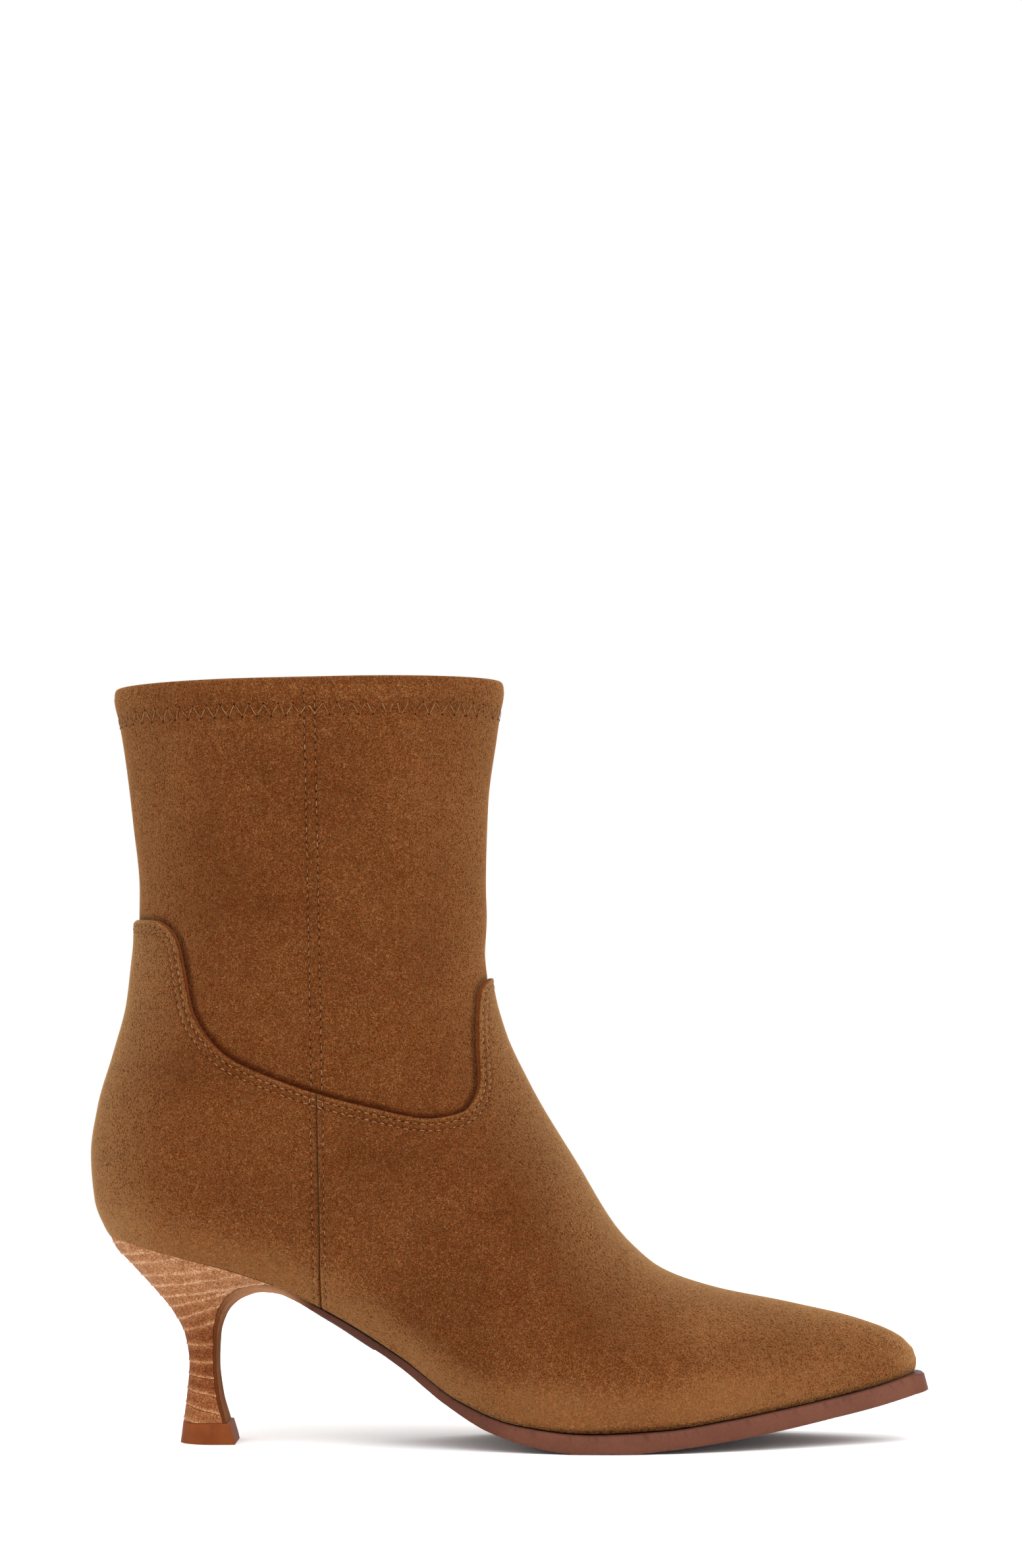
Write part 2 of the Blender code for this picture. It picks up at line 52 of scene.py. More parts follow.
# %% Camera
MM = 0.001
PHOTO_WIDTH = 1552
PHOTO_HEIGHT = 2380
PIXELS_PER_MM = 5.05
CAMERA_BACK = 1100.0
CAMERA_HEIGHT = 112.5
SENSOR = 36.0
HEIGHT_ROW = 1620
MIDDLE_COLUMN = 775

bpy.ops.object.select_all(action="DESELECT")
bpy.ops.object.camera_add(
    location=(0.0, -CAMERA_BACK * MM, CAMERA_HEIGHT * MM),
    rotation=(math.radians(90), 0.0, 0.0),
)
camera = bpy.context.object
camera.name = "camera"
camera.data.sensor_width = SENSOR
camera.data.lens = SENSOR * CAMERA_BACK * PIXELS_PER_MM / PHOTO_HEIGHT
camera.data.shift_x = (PHOTO_WIDTH / 2 - MIDDLE_COLUMN) / PHOTO_HEIGHT
camera.data.shift_y = (HEIGHT_ROW - PHOTO_HEIGHT / 2) / PHOTO_HEIGHT
camera.data.dof.use_dof = False
bpy.context.scene.camera = camera
print("lens", round(camera.data.lens, 1), "shift", round(camera.data.shift_y, 3))

# %% [markdown]
# The boot stands on a sheet of pale paper in a white room. A very big soft box hangs overhead and to the front,
# which gives the soft dark under the sole. Two weak boxes at the sides and one behind keep every side from going
# dull. The plain view transform keeps white paper white.

# %% Floor and light
ROOM_STRENGTH = 1.0
Box = namedtuple("Box", "name place turn size power")
SOFT_BOXES = [
    Box("overhead box", (0.0, -0.85, 1.3), (33, 0, 0), (2.0, 1.4), 26.0),
    Box("left box", (-1.1, -0.35, 0.55), (0, -72, 0), (0.9, 1.1), 3.0),
    Box("right box", (1.1, -0.35, 0.55), (0, 72, 0), (0.9, 1.1), 6.0),
    Box("back box", (0.0, 1.1, 1.0), (-47, 0, 0), (1.8, 1.0), 8.0),
]
PAPER_SIZE = 2.2
PAPER_TONE = (0.92, 0.92, 0.92, 1.0)
PAPER_ROUGHNESS = 0.95

bpy.context.scene.view_settings.view_transform = "Standard"
bpy.ops.mesh.primitive_plane_add(size=PAPER_SIZE, location=(0.0, 0.0, 0.0))
floor = bpy.context.object
floor.name = "floor"
paper = bpy.data.materials.new("white paper")
paper.use_nodes = True
paper_shader = paper.node_tree.nodes["Principled BSDF"]
paper_shader.inputs["Base Color"].default_value = PAPER_TONE
paper_shader.inputs["Roughness"].default_value = PAPER_ROUGHNESS
paper_shader.inputs["Specular IOR Level"].default_value = 0.0
floor.data.materials.append(paper)

world = bpy.data.worlds.new("studio")
bpy.context.scene.world = world
world.use_nodes = True
sky = world.node_tree.nodes["Background"]
sky.inputs["Color"].default_value = (1.0, 1.0, 1.0, 1.0)
sky.inputs["Strength"].default_value = ROOM_STRENGTH

for box in SOFT_BOXES:
    turn = [math.radians(angle) for angle in box.turn]
    bpy.ops.object.light_add(type="AREA", location=box.place, rotation=turn)
    lamp = bpy.context.object
    lamp.name = box.name
    lamp.data.shape = "RECTANGLE"
    lamp.data.size, lamp.data.size_y = box.size
    lamp.data.energy = box.power
print("floor and", len(SOFT_BOXES), "lights")

# %% [markdown]
# The sizes are the boot's own, in millimetres: X from the back of the heel, Z from the floor. The last is
# read off at stations along the foot, and the back, the front and the scalloped edge are lines in side view.
# A table with a name for each place is easier to correct than a cloud of points.

# %% Sizes of the last
LENGTH = 252.0
COLLAR_HEIGHT = 228.0
WALL = 1.3
GAP = 0.3
SOLE_GAP = 0.35
PANEL_TOP = 1.9
BULGE_HEIGHT = 18.0
SHAFT_BLEND = (72.0, 138.0)
SEAM_FOOT_X = 70.7
SEAM_FOOT_Z = 41.4
SEAM_COLLAR_X = 67.0

Foot = namedtuple("Foot", "station x feather_z centre feather body")
FOOT = [
    Foot("heel back", 7.2, 62.4, 0.0, 21.0, 25.0),
    Foot("seat", 25.0, 57.5, 0.0, 23.2, 26.4),
    Foot("seat front", 50.0, 50.6, -0.4, 22.3, 27.2),
    Foot("waist", 71.0, 41.4, -1.4, 21.0, 28.0),
    Foot("arch", 95.0, 26.9, -2.8, 21.8, 29.6),
    Foot("arch front", 112.0, 14.6, -3.4, 25.6, 31.6),
    Foot("tread back", 128.0, 8.4, -3.2, 30.4, 33.8),
    Foot("outer ball", 150.0, 6.0, -1.8, 34.8, 36.2),
    Foot("inner ball", 170.0, 6.9, 0.3, 35.2, 36.2),
    Foot("toe root", 190.0, 9.5, 2.4, 31.4, 32.3),
    Foot("toe box", 205.0, 11.9, 3.7, 26.0, 26.9),
    Foot("toe", 220.0, 14.5, 4.8, 19.4, 20.3),
    Foot("toe taper", 235.0, 17.6, 5.7, 12.4, 13.3),
    Foot("toe tip", 246.9, 20.9, 6.3, 6.8, 7.6),
]
Edge = namedtuple("Edge", "place x z rounding")
BACK = [
    Edge("seat edge", 7.2, 62.4, 25.0),
    Edge("heel", 3.0, 73.0, 27.0),
    Edge("heel bulge", 1.9, 86.7, 28.0),
    Edge("heel top", 3.9, 100.6, 30.0),
    Edge("tendon", 8.5, 116.4, 34.0),
    Edge("ankle", 12.6, 132.3, 38.0),
    Edge("shaft foot", 14.2, 150.0, 42.0),
    Edge("shaft waist", 14.6, 165.0, 44.0),
    Edge("shaft", 12.6, 186.0, 46.0),
    Edge("shaft top", 9.9, 207.5, 48.0),
    Edge("collar", 6.6, COLLAR_HEIGHT - 2.6, 50.0),
]
FRONT = [
    Edge("toe edge", 246.9, 20.9, 7.0),
    Edge("toe nose", 246.9, 24.4, 7.3),
    Edge("toe brow", 245.8, 27.2, 8.0),
    Edge("toe shoulder", 243.8, 29.1, 9.2),
    Edge("toe top", 241.2, 30.8, 10.8),
    Edge("toe box", 232.0, 34.5, 17.0),
    Edge("vamp", 209.6, 40.0, 28.0),
    Edge("vamp back", 185.8, 45.0, 35.0),
    Edge("break", 169.8, 51.0, 40.0),
    Edge("instep foot", 160.2, 59.1, 43.0),
    Edge("instep", 143.9, 83.8, 45.0),
    Edge("instep top", 129.8, 107.6, 45.0),
    Edge("throat", 122.6, 123.4, 45.0),
    Edge("ankle", 119.3, 137.0, 46.0),
    Edge("shin", 118.6, 160.0, 48.0),
    Edge("shaft", 119.4, 192.0, 50.0),
    Edge("flare", 121.9, 211.0, 50.0),
    Edge("collar", 124.4, COLLAR_HEIGHT, 50.0),
]
Shaft = namedtuple("Shaft", "z half")
SHAFT = [
    Shaft(70.0, 27.5),
    Shaft(120.0, 27.5),
    Shaft(160.0, 27.8),
    Shaft(200.0, 29.5),
    Shaft(COLLAR_HEIGHT, 31.5),
]
Scallop = namedtuple("Scallop", "place x z")
SCALLOP = [
    Scallop("back tab", 14.3, 156.6),
    Scallop("tab shoulder", 22.0, 155.9),
    Scallop("tab corner", 27.6, 151.2),
    Scallop("tab side", 30.3, 141.5),
    Scallop("fall", 32.7, 129.6),
    Scallop("sweep", 41.7, 116.6),
    Scallop("side", 56.0, 109.4),
    Scallop("seam", 69.2, 104.8),
    Scallop("front side", 85.0, 100.7),
    Scallop("low", 102.5, 97.3),
    Scallop("corner", 112.3, 99.4),
    Scallop("front tab side", 116.2, 107.5),
    Scallop("tab rise", 115.4, 124.0),
    Scallop("front shoulder", 116.2, 135.6),
    Scallop("front tab", 119.2, 139.2),
]
SEAM_TOP = next((row.x, row.z) for row in SCALLOP if row.place == "seam")
print("tables", len(FOOT), len(BACK), len(FRONT), len(SCALLOP))

# %% [markdown]
# A curve through a table should not swing past its own points, or a toe grows a bump that nobody drew. The
# slopes below are chosen so that it can't: where the numbers level off, the curve levels off too.

# %% Smooth curves
TINY = 1e-12


def tangents(knots, values):
    step = np.diff(knots)
    slope = np.diff(values) / step
    middle = np.where(
        slope[:-1] * slope[1:] > 0,
        (step[:-1] + step[1:]) * slope[:-1] * slope[1:]
        / (step[:-1] * slope[:-1] + step[1:] * slope[1:] + TINY),
        0.0,
    )
    return np.concatenate([[slope[0]], middle, [slope[-1]]])


def smooth(knots, values, at):
    """The smooth curve through (knots, values), read at one place or many."""
    knots = np.asarray(knots, float)
    values = np.asarray(values, float)
    at = np.clip(np.asarray(at, float), knots[0], knots[-1])
    m = tangents(knots, values)
    i = np.clip(np.searchsorted(knots, at, side="right") - 1, 0, len(knots) - 2)
    h = knots[i + 1] - knots[i]
    t = (at - knots[i]) / h
    rest = 1.0 - t
    return (
        values[i] * (1 + 2 * t) * rest**2
        + values[i + 1] * (3 - 2 * t) * t**2
        + h * m[i] * t * rest**2
        - h * m[i + 1] * t**2 * rest
    )


def column(rows, name):
    return np.array([getattr(row, name) for row in rows], float)


def run_length(points):
    """Distance along a line of points from its start."""
    return np.concatenate([[0.0], np.cumsum(np.linalg.norm(np.diff(points, axis=0), axis=1))])


def read_off(at, length, values):
    """Rows of numbers read at distances along a run."""
    return np.stack([np.interp(at, length, values[:, k]) for k in range(values.shape[1])], axis=-1)


def unit(vectors):
    return vectors / np.maximum(np.linalg.norm(vectors, axis=-1, keepdims=True), TINY)


print("halfway along a level stretch", float(smooth([0, 1, 2], [0.0, 1.0, 1.0], 1.5)))

# %% [markdown]
# The back, the front and the scallops are lines in side view. Such a line knows its length, the share of length at a
# height, and how far away any place is. That distance is what rounds the wall off towards the back and the front.

# %% Lines in side view
LINE_POINTS = 1500
AT_ONCE = 3000


class Line:
    """A smooth line in side view through a table's x and z, read by its share of length."""

    def __init__(self, rows, inside=1.0):
        self.rows = rows
        self.length = run_length(np.stack([column(rows, "x"), column(rows, "z")], axis=-1))
        self.shares = np.linspace(0, 1, LINE_POINTS)
        self.points = self.point(self.shares)
        ahead = unit(np.gradient(self.points, axis=0))
        self.inward = inside * np.stack([-ahead[:, 1], ahead[:, 0]], axis=-1)

    def read(self, name, share):
        return smooth(self.length, column(self.rows, name), np.asarray(share) * self.length[-1])

    def point(self, share):
        return np.stack([self.read("x", share), self.read("z", share)], axis=-1)

    def share_at(self, height):
        return np.interp(height, np.maximum.accumulate(self.points[:, 1]), self.shares)

    def part(self, share, low, high):
        ends = self.share_at([low, high])
        return self.point(ends[0] + (ends[1] - ends[0]) * np.asarray(share))

    def x_at(self, height):
        return self.read("x", self.share_at(height))

    def near(self, x, z):
        """Signed distance (inside is positive), rounding depth and inward direction at each place."""
        place = np.stack([x, z], axis=-1).reshape(-1, 2)
        index = np.empty(len(place), int)
        for start in range(0, len(place), AT_ONCE):
            chunk = place[start:start + AT_ONCE]
            away = (chunk[:, :1] - self.points[:, 0]) ** 2 + (chunk[:, 1:] - self.points[:, 1]) ** 2
            index[start:start + AT_ONCE] = away.argmin(axis=1)
        offset = place - self.points[index]
        across = (offset * self.inward[index]).sum(axis=1)
        ends = (index == 0) | (index == len(self.points) - 1)
        far = np.where(ends, np.sign(across) * np.linalg.norm(offset, axis=1), across)
        depth = self.read("rounding", self.shares[index])
        shape = np.shape(x)
        return far.reshape(shape), depth.reshape(shape), self.inward[index].reshape(shape + (2,))


BACK_LINE = Line(BACK, inside=-1.0)
FRONT_LINE = Line(FRONT)
print("back line", round(BACK_LINE.length[-1]), "mm, front line", round(FRONT_LINE.length[-1]), "mm")

# %% [markdown]
# The wall of the upper is one function: at any place in side view it gives the width, swelling above the
# feather edge and rounding off like a quarter ellipse at the back and front lines. Its slope gives the outward
# direction without a mesh, so thickness, seams and stitches can all be laid on it exactly.

# %% Wall of the upper
OUTER = -1.0
INNER = 1.0


def blend(value, low, high):
    t = np.clip((value - low) / (high - low), 0.0, 1.0)
    return t * t * (3 - 2 * t)


def bell(distance, width):
    return np.exp(-((distance / width) ** 2))


def foot(name, x):
    return smooth(column(FOOT, "x"), column(FOOT, name), x)


def wall_middle(x, z):
    return foot("centre", x) * (1.0 - blend(z, *SHAFT_BLEND))


def wall_width(x, z):
    """Half the width of the wall before it rounds off at the back and the front."""
    rise = np.clip((z - foot("feather_z", x)) / BULGE_HEIGHT, 0.0, 1.0)
    low = foot("feather", x)
    body = low + (foot("body", x) - low) * np.sin(rise * math.pi / 2)
    up = blend(z, *SHAFT_BLEND)
    return body * (1 - up) + smooth(column(SHAFT, "z"), column(SHAFT, "half"), z) * up


def wall(x, z, side, step=0.05):
    """Points of the wall in space and their outward directions, for places in side view."""
    width = wall_width(x, z)
    squares = []
    for line in (BACK_LINE, FRONT_LINE):
        far, depth, inward = line.near(x, z)
        t = 1.0 - np.clip(far / depth, 0.0, 1.0)
        squares.append((1.0 - t**2, (2 * t / depth)[..., None] * inward))
    (back, back_slope), (front, front_slope) = squares
    shape = back * front
    width_slope = np.stack([
        wall_width(x + step, z) - wall_width(x - step, z),
        wall_width(x, z + step) - wall_width(x, z - step),
    ], axis=-1) / (2 * step)
    slope = (2 * width * shape)[..., None] * width_slope
    slope = slope + (width**2)[..., None] * (back_slope * front[..., None] + front_slope * back[..., None])
    half = width * np.sqrt(shape)
    middle = wall_middle(x, z)
    points = np.stack([x, middle + side * half, z], axis=-1)
    out = unit(np.stack([-slope[..., 0], 2 * side * half, -slope[..., 1]], axis=-1))
    return points, out


p, n = wall(np.array([100.0, 180.0]), np.array([80.0, 25.0]), OUTER)
print("wall at the ankle and the vamp", p.round(1).tolist(), n.round(2).tolist())

# %% [markdown]
# Every piece starts as a primitive, and its points are then moved to where the boot's own functions put them. By
# hand this would be days of sculpting, and it would never match the last. The boot's millimetres are shifted so
# that the middle of its box stands over the frame's origin.

# %% Moving points
SOLE_OUTER = -39.6
SOLE_INNER = 39.0
SMOOTH_ANGLE = math.radians(50)
SHIFT = np.array([-LENGTH / 2, -(SOLE_OUTER + SOLE_INNER) / 2, 0.0])


def fresh(name):
    obj = bpy.context.object
    obj.name = name
    obj.data.name = name
    return obj


def points_of(obj):
    found = np.empty(len(obj.data.vertices) * 3)
    obj.data.vertices.foreach_get("co", found)
    return found.reshape(-1, 3)


def place(obj, points):
    """Moves an object's points to places in the boot's millimetres, faces outwards, smooth."""
    obj.data.vertices.foreach_set("co", ((points + SHIFT) * MM).astype(np.float32).ravel())
    obj.data.update()
    obj.data.calc_loop_triangles()
    corner = np.empty(len(obj.data.loop_triangles) * 3, int)
    obj.data.loop_triangles.foreach_get("vertices", corner)
    a, b, c = (points[corner.reshape(-1, 3)[:, k]] for k in range(3))
    if (a * np.cross(b, c)).sum() < 0:
        obj.data.flip_normals()
    bpy.ops.object.select_all(action="DESELECT")
    obj.select_set(True)
    bpy.context.view_layer.objects.active = obj
    bpy.ops.object.shade_smooth_by_angle(angle=SMOOTH_ANGLE)
    return obj


print("pieces are moved by", SHIFT.round(1).tolist(), "mm into the frame")

# %% [markdown]
# Three weaves of faces are enough for this boot: a torus for a wall that runs all the way round, a grid with a
# Solidify for a panel, and a ball for a closed bar. A point's place on the primitive tells which row and column of
# the piece it belongs to.

# %% Walls, panels and bars
BLANK = 0.5


def torus_wall(name, rings):
    """A closed wall: the first axis runs over the wall's own outline, the second around the boot."""
    rows, count = rings.shape[:2]
    bpy.ops.object.select_all(action="DESELECT")
    bpy.ops.mesh.primitive_torus_add(
        major_segments=count, minor_segments=rows, major_radius=1.0, minor_radius=0.3)
    obj = fresh(name)
    co = points_of(obj)
    around = np.arctan2(co[:, 1], co[:, 0]) / (2 * math.pi) * count
    over = np.arctan2(co[:, 2], np.hypot(co[:, 0], co[:, 1]) - 1.0) / (2 * math.pi) * rows
    row = np.rint(over).astype(int) % rows
    col = np.rint(around).astype(int) % count
    return place(obj, rings[row, col]), row, col


def panel(name, outside, inside):
    """A sheet with thickness from its outer and inner face."""
    rows, count = outside.shape[:2]
    bpy.ops.object.select_all(action="DESELECT")
    bpy.ops.mesh.primitive_grid_add(x_subdivisions=count - 1, y_subdivisions=rows - 1, size=2.0)
    obj = fresh(name)
    thickness = obj.modifiers.new("thickness", "SOLIDIFY")
    thickness.thickness = BLANK
    thickness.offset = -1.0
    bpy.ops.object.modifier_apply(modifier="thickness")
    co = points_of(obj)
    col = np.rint((co[:, 0] + 1) / 2 * (count - 1)).astype(int)
    row = np.rint((co[:, 1] + 1) / 2 * (rows - 1)).astype(int)
    deep = co[:, 2] < -BLANK / 2
    points = np.where(deep[:, None], inside[row, col], outside[row, col])
    return place(obj, points), row, col, deep


def bar(name, slices):
    """A closed bar through slices, with a point in the middle of each end."""
    rows, count = slices.shape[:2]
    bpy.ops.object.select_all(action="DESELECT")
    bpy.ops.mesh.primitive_uv_sphere_add(segments=count, ring_count=rows + 1, radius=1.0)
    obj = fresh(name)
    co = points_of(obj)
    row = np.rint(np.arccos(np.clip(co[:, 2], -1, 1)) / math.pi * (rows + 1)).astype(int)
    col = np.rint(np.arctan2(co[:, 1], co[:, 0]) / (2 * math.pi) * count).astype(int) % count
    full = np.concatenate([
        np.repeat(slices[:1].mean(axis=1, keepdims=True), count, axis=1),
        slices,
        np.repeat(slices[-1:].mean(axis=1, keepdims=True), count, axis=1),
    ])
    return place(obj, full[row, col]), np.clip(row - 1, 0, rows - 1), col


print("weaves", [weave.__name__ for weave in (torus_wall, panel, bar)])

# %% [markdown]
# A piece carries facts as well as a shape. Numbers kept at its points tell the finish where to be dark or pale.
# It also has to say which body it rides on and which solids it stands for.

# %% Notes and bodies


def note(obj, name, values):
    """Keeps a number at each point, for the finish to read."""
    kept = obj.data.attributes.new(name, "FLOAT", "POINT")
    kept.data.foreach_set("value", np.asarray(values, np.float32))


def settle(obj, slot, *nodes):
    """The piece rides on the boot and stands for the nodes named. The slot is not used."""
    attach(obj, "root")
    if nodes:
        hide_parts(*nodes)
    faces = sum(len(p.vertices) - 2 for p in obj.data.polygons)
    print(obj.name, "made with", faces, "triangles")


print("solids to stand for", len(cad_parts))

# %% [markdown]
# A finish is a small graph of nodes. Each helper below adds one kind of node and gives back its output, so that
# a finish reads like a recipe. First come the numbers: noise, sums of noises, and thin curly strands. Places come
# from each piece's own coordinates, so a finish stays put when the boot is moved.

# %% Numbers for a finish
GREY = 0.5


def finish(name, roughness, specular):
    made = bpy.data.materials.new(name)
    made.use_nodes = True
    shader = made.node_tree.nodes["Principled BSDF"]
    shader.inputs["Roughness"].default_value = roughness
    shader.inputs["Specular IOR Level"].default_value = specular
    return made, made.node_tree, shader


def add(tree, kind, sockets, **settings):
    made = tree.nodes.new(kind)
    for name, value in settings.items():
        setattr(made, name, value)
    for name, value in sockets.items():
        if isinstance(value, bpy.types.NodeSocket):
            tree.links.new(value, made.inputs[name])
        else:
            made.inputs[name].default_value = value
    return made


def own_place(tree):
    return add(tree, "ShaderNodeTexCoord", {}).outputs["Object"]


def noise(tree, at, size_mm, detail=2.0, distortion=0.0, kind="FBM"):
    """Soft random tone from 0 to 1, with patches of about the size given."""
    values = {"Vector": at, "Scale": 1.0 / (size_mm * MM), "Detail": detail, "Distortion": distortion}
    return add(tree, "ShaderNodeTexNoise", values, noise_type=kind).outputs["Fac"]


def sums(tree, first, second, how="ADD"):
    return add(tree, "ShaderNodeMath", {0: first, 1: second}, operation=how).outputs[0]


def kept(tree, name):
    return add(tree, "ShaderNodeAttribute", {}, attribute_name=name).outputs["Fac"]


def shifted(tree, tone, parts):
    """A tone moved by each number times its weight."""
    for number, weight in parts:
        tone = sums(tree, sums(tree, number, weight, "MULTIPLY"), tone)
    return tone


def weighed(tree, parts, start):
    """A starting tone plus each noise, less its middle, times its weight."""
    return shifted(tree, start - sum(weight * GREY for _, weight in parts), parts)


def mapped(tree, value, low, high, to_low=0.0, to_high=1.0, how="LINEAR"):
    """A number stretched from one range to another."""
    values = {"Value": value, "From Min": low, "From Max": high, "To Min": to_low, "To Max": to_high}
    return add(tree, "ShaderNodeMapRange", values, interpolation_type=how).outputs["Result"]


def strands(tree, at, spacing_mm, width, curl):
    """Thin curly lines, 1 on a line and 0 between: where a slow noise passes through its middle."""
    middle = sums(tree, noise(tree, at, spacing_mm, 1.0, curl), GREY, "SUBTRACT")
    away = add(tree, "ShaderNodeMath", {0: middle}, operation="ABSOLUTE").outputs[0]
    return mapped(tree, away, 0.0, width, 1.0, 0.0, "SMOOTHSTEP")


print("noise is weighed about its middle,", GREY)

# %% [markdown]
# Then the numbers become colour and relief. A ramp turns a tone into a colour, two colours can be mixed, and bump
# tilts the light on grain that is too fine to model. Colours are written as a picture shows them.

# %% Colour and relief


def srgb(red, green, blue):
    """A colour as a shader wants it, from the numbers that a picture shows."""
    made = []
    for value in (red, green, blue):
        v = value / 255
        made.append(v / 12.92 if v <= 0.04045 else ((v + 0.055) / 1.055) ** 2.4)
    return (*made, 1.0)


def ramp(tree, tone, stops):
    made = add(tree, "ShaderNodeValToRGB", {"Fac": tone})
    band = made.color_ramp.elements
    while len(band) < len(stops):
        band.new(0.5)
    for element, (at, colour) in zip(band, stops):
        element.position = at
        element.color = colour
    return made.outputs["Color"]


def mixed(tree, share, first, second):
    """One colour that goes over into another."""
    values = {"Factor": share, 6: first, 7: second}
    return add(tree, "ShaderNodeMix", values, data_type="RGBA").outputs[2]


def paint(tree, shader, colour):
    tree.links.new(colour, shader.inputs["Base Color"])


def relief(tree, shader, height, strength, depth_mm):
    values = {"Height": height, "Strength": strength, "Distance": depth_mm * MM}
    bump = add(tree, "ShaderNodeBump", values)
    tree.links.new(bump.outputs["Normal"], shader.inputs["Normal"])


print("a middle tan in the shader's own numbers", [round(v, 3) for v in srgb(128, 86, 50)])

# %% [markdown]
# Suede is split leather with a short curly nap. From near it is a felt of tan and dark brown fibres, from
# afar a soft brown with lighter patches where the nap was brushed the other way, and it turns pale where it is
# seen at a slant. Thin strands and flecks give the fibres, slow noise the patches, and a tinted sheen the pale rim.

# %% Suede
NAP_WARM = [(0.16, srgb(51, 14, 0)), (0.5, srgb(82, 35, 2)), (0.86, srgb(132, 84, 45))]
NAP_COOL = [(0.16, srgb(47, 16, 0)), (0.5, srgb(76, 36, 4)), (0.86, srgb(128, 86, 50))]
NAP_TONE = 0.585
CURL_MM = 0.62
LOOP_MM = 0.85
STRAND_WIDTH = 0.06
FLECK_MM = 0.32
DRIFT_MM = 1.6
PATCH_MM = 6.0
CLOUD_MM = 40.0
NAP_DEPTH = 0.15
CUT_SHADOW = -0.4
CUT_REACH = (0.3, 2.0)
SHEEN_ROUGHNESS = 0.27


def suede(name, sheen, tint, under_panels=False):
    """Curly nap over soft patches. A kept shade moves its tone, and under the panels' cut a painted shadow darkens
    it.
    """
    made, tree, shader = finish(name, 0.95, 0.08)
    at = own_place(tree)
    curl = strands(tree, at, CURL_MM, STRAND_WIDTH, 0.8)
    loop = sums(tree, strands(tree, at, LOOP_MM, STRAND_WIDTH, 1.2), 0.85, "MULTIPLY")
    nap = sums(tree, curl, loop, "MAXIMUM")
    fleck = noise(tree, at, FLECK_MM, 2.0, 0.8)
    patch = noise(tree, at, PATCH_MM, 3.0, 0.6)
    cloud = noise(tree, at, CLOUD_MM, 2.0, 0.3)
    tone = weighed(tree, [(nap, 0.37), (fleck, 0.37), (patch, 0.12), (cloud, 0.18)], NAP_TONE)
    tone = sums(tree, kept(tree, "shade"), tone)
    if under_panels:
        tone = sums(tree, mapped(tree, kept(tree, "from_cut"), *CUT_REACH, CUT_SHADOW, 0.0), tone)
    drift = mapped(tree, noise(tree, at, DRIFT_MM, 3.0, 0.8), 0.35, 0.65)
    paint(tree, shader, mixed(tree, drift, ramp(tree, tone, NAP_WARM), ramp(tree, tone, NAP_COOL)))
    height = sums(tree, nap, sums(tree, fleck, 0.5, "MULTIPLY"))
    relief(tree, shader, height, 0.75, NAP_DEPTH)
    shader.inputs["Sheen Weight"].default_value = sheen
    shader.inputs["Sheen Roughness"].default_value = SHEEN_ROUGHNESS
    shader.inputs["Sheen Tint"].default_value = tint
    return made


shaft_suede = suede("shaft suede", 0.58, srgb(255, 194, 124), under_panels=True)
panel_suede = suede("panel suede", 0.7, srgb(255, 206, 140))
print("suedes", shaft_suede.name, panel_suede.name)

# %% [markdown]
# Two more leathers meet the suede. The lining is smooth, with a close grain and slow clouds of tone. The cut edges
# show loose fibres with no nap laid over them, so they have no sheen. Where two of them are butted together at the
# seam their colours are darker still, as painted shade in the groove.

# %% Lining and cut edges
GRAIN_MM = 0.7
LINING_CLOUD_MM = 22.0
FIBRE_MM = 0.5


def fine_leather(name, dark, light, roughness):
    """Smooth leather: a close grain and slow clouds of tone."""
    made, tree, shader = finish(name, roughness, 0.35)
    at = own_place(tree)
    grain = noise(tree, at, GRAIN_MM, 3.0, 0.2)
    cloud = noise(tree, at, LINING_CLOUD_MM, 2.0, 0.0)
    tone = weighed(tree, [(grain, 0.5), (cloud, 0.6)], 0.5)
    paint(tree, shader, ramp(tree, tone, [(0.2, dark), (0.8, light)]))
    relief(tree, shader, grain, 0.25, 0.15)
    return made


def raw_edge(name, dark, light):
    """The cut edge of a panel: loose warm fibres."""
    made, tree, shader = finish(name, 0.9, 0.1)
    fibre = noise(tree, own_place(tree), FIBRE_MM, 3.0, 0.8)
    paint(tree, shader, ramp(tree, fibre, [(0.25, dark), (0.75, light)]))
    relief(tree, shader, fibre, 0.6, 0.3)
    return made


lining_leather = fine_leather("lining leather", srgb(150, 112, 78), srgb(182, 142, 104), 0.6)
cut_edge = raw_edge("cut edge", srgb(66, 27, 6), srgb(118, 60, 22))
seam_edge_in_shade = raw_edge("seam edge in shade", srgb(46, 21, 2), srgb(112, 64, 24))
print("finishes", [m.name for m in bpy.data.materials])

# %% [markdown]
# A pattern cutter draws on the last. In the same way every row of every piece is drawn in side view first. A row
# around the shaft is such a line, the feather edge above the sole is another, and rows are cut in two at the
# side seam.

# %% Rows in side view
LEVEL_POINTS = 500
FEATHER_POINTS = 900


def seam_x(z):
    """Where the side seam stands at a height."""
    heights = [SEAM_FOOT_Z, SEAM_TOP[1], COLLAR_HEIGHT]
    return np.interp(z, heights, [SEAM_FOOT_X, SEAM_TOP[0], SEAM_COLLAR_X])


def turning(count):
    """Shares from 0 to 1 that crowd towards both ends."""
    return (1 - np.cos(np.linspace(0, math.pi, count))) / 2


def level(depth):
    """A line around the shaft at a depth below the collar, from back to front in side view."""
    high = np.array([BACK[-1].z, FRONT[-1].z]) - depth
    ends = np.array([BACK_LINE.x_at(high[0]), FRONT_LINE.x_at(high[1])])
    t = turning(LEVEL_POINTS)
    return np.stack([ends[0] + (ends[1] - ends[0]) * t, high[0] + (high[1] - high[0]) * t], axis=-1)


def feather(start, end, count):
    """The lower edge of the wall, from one place along the foot to another."""
    x = start + (end - start) * turning(count)
    return np.stack([x, foot("feather_z", x)], axis=-1)


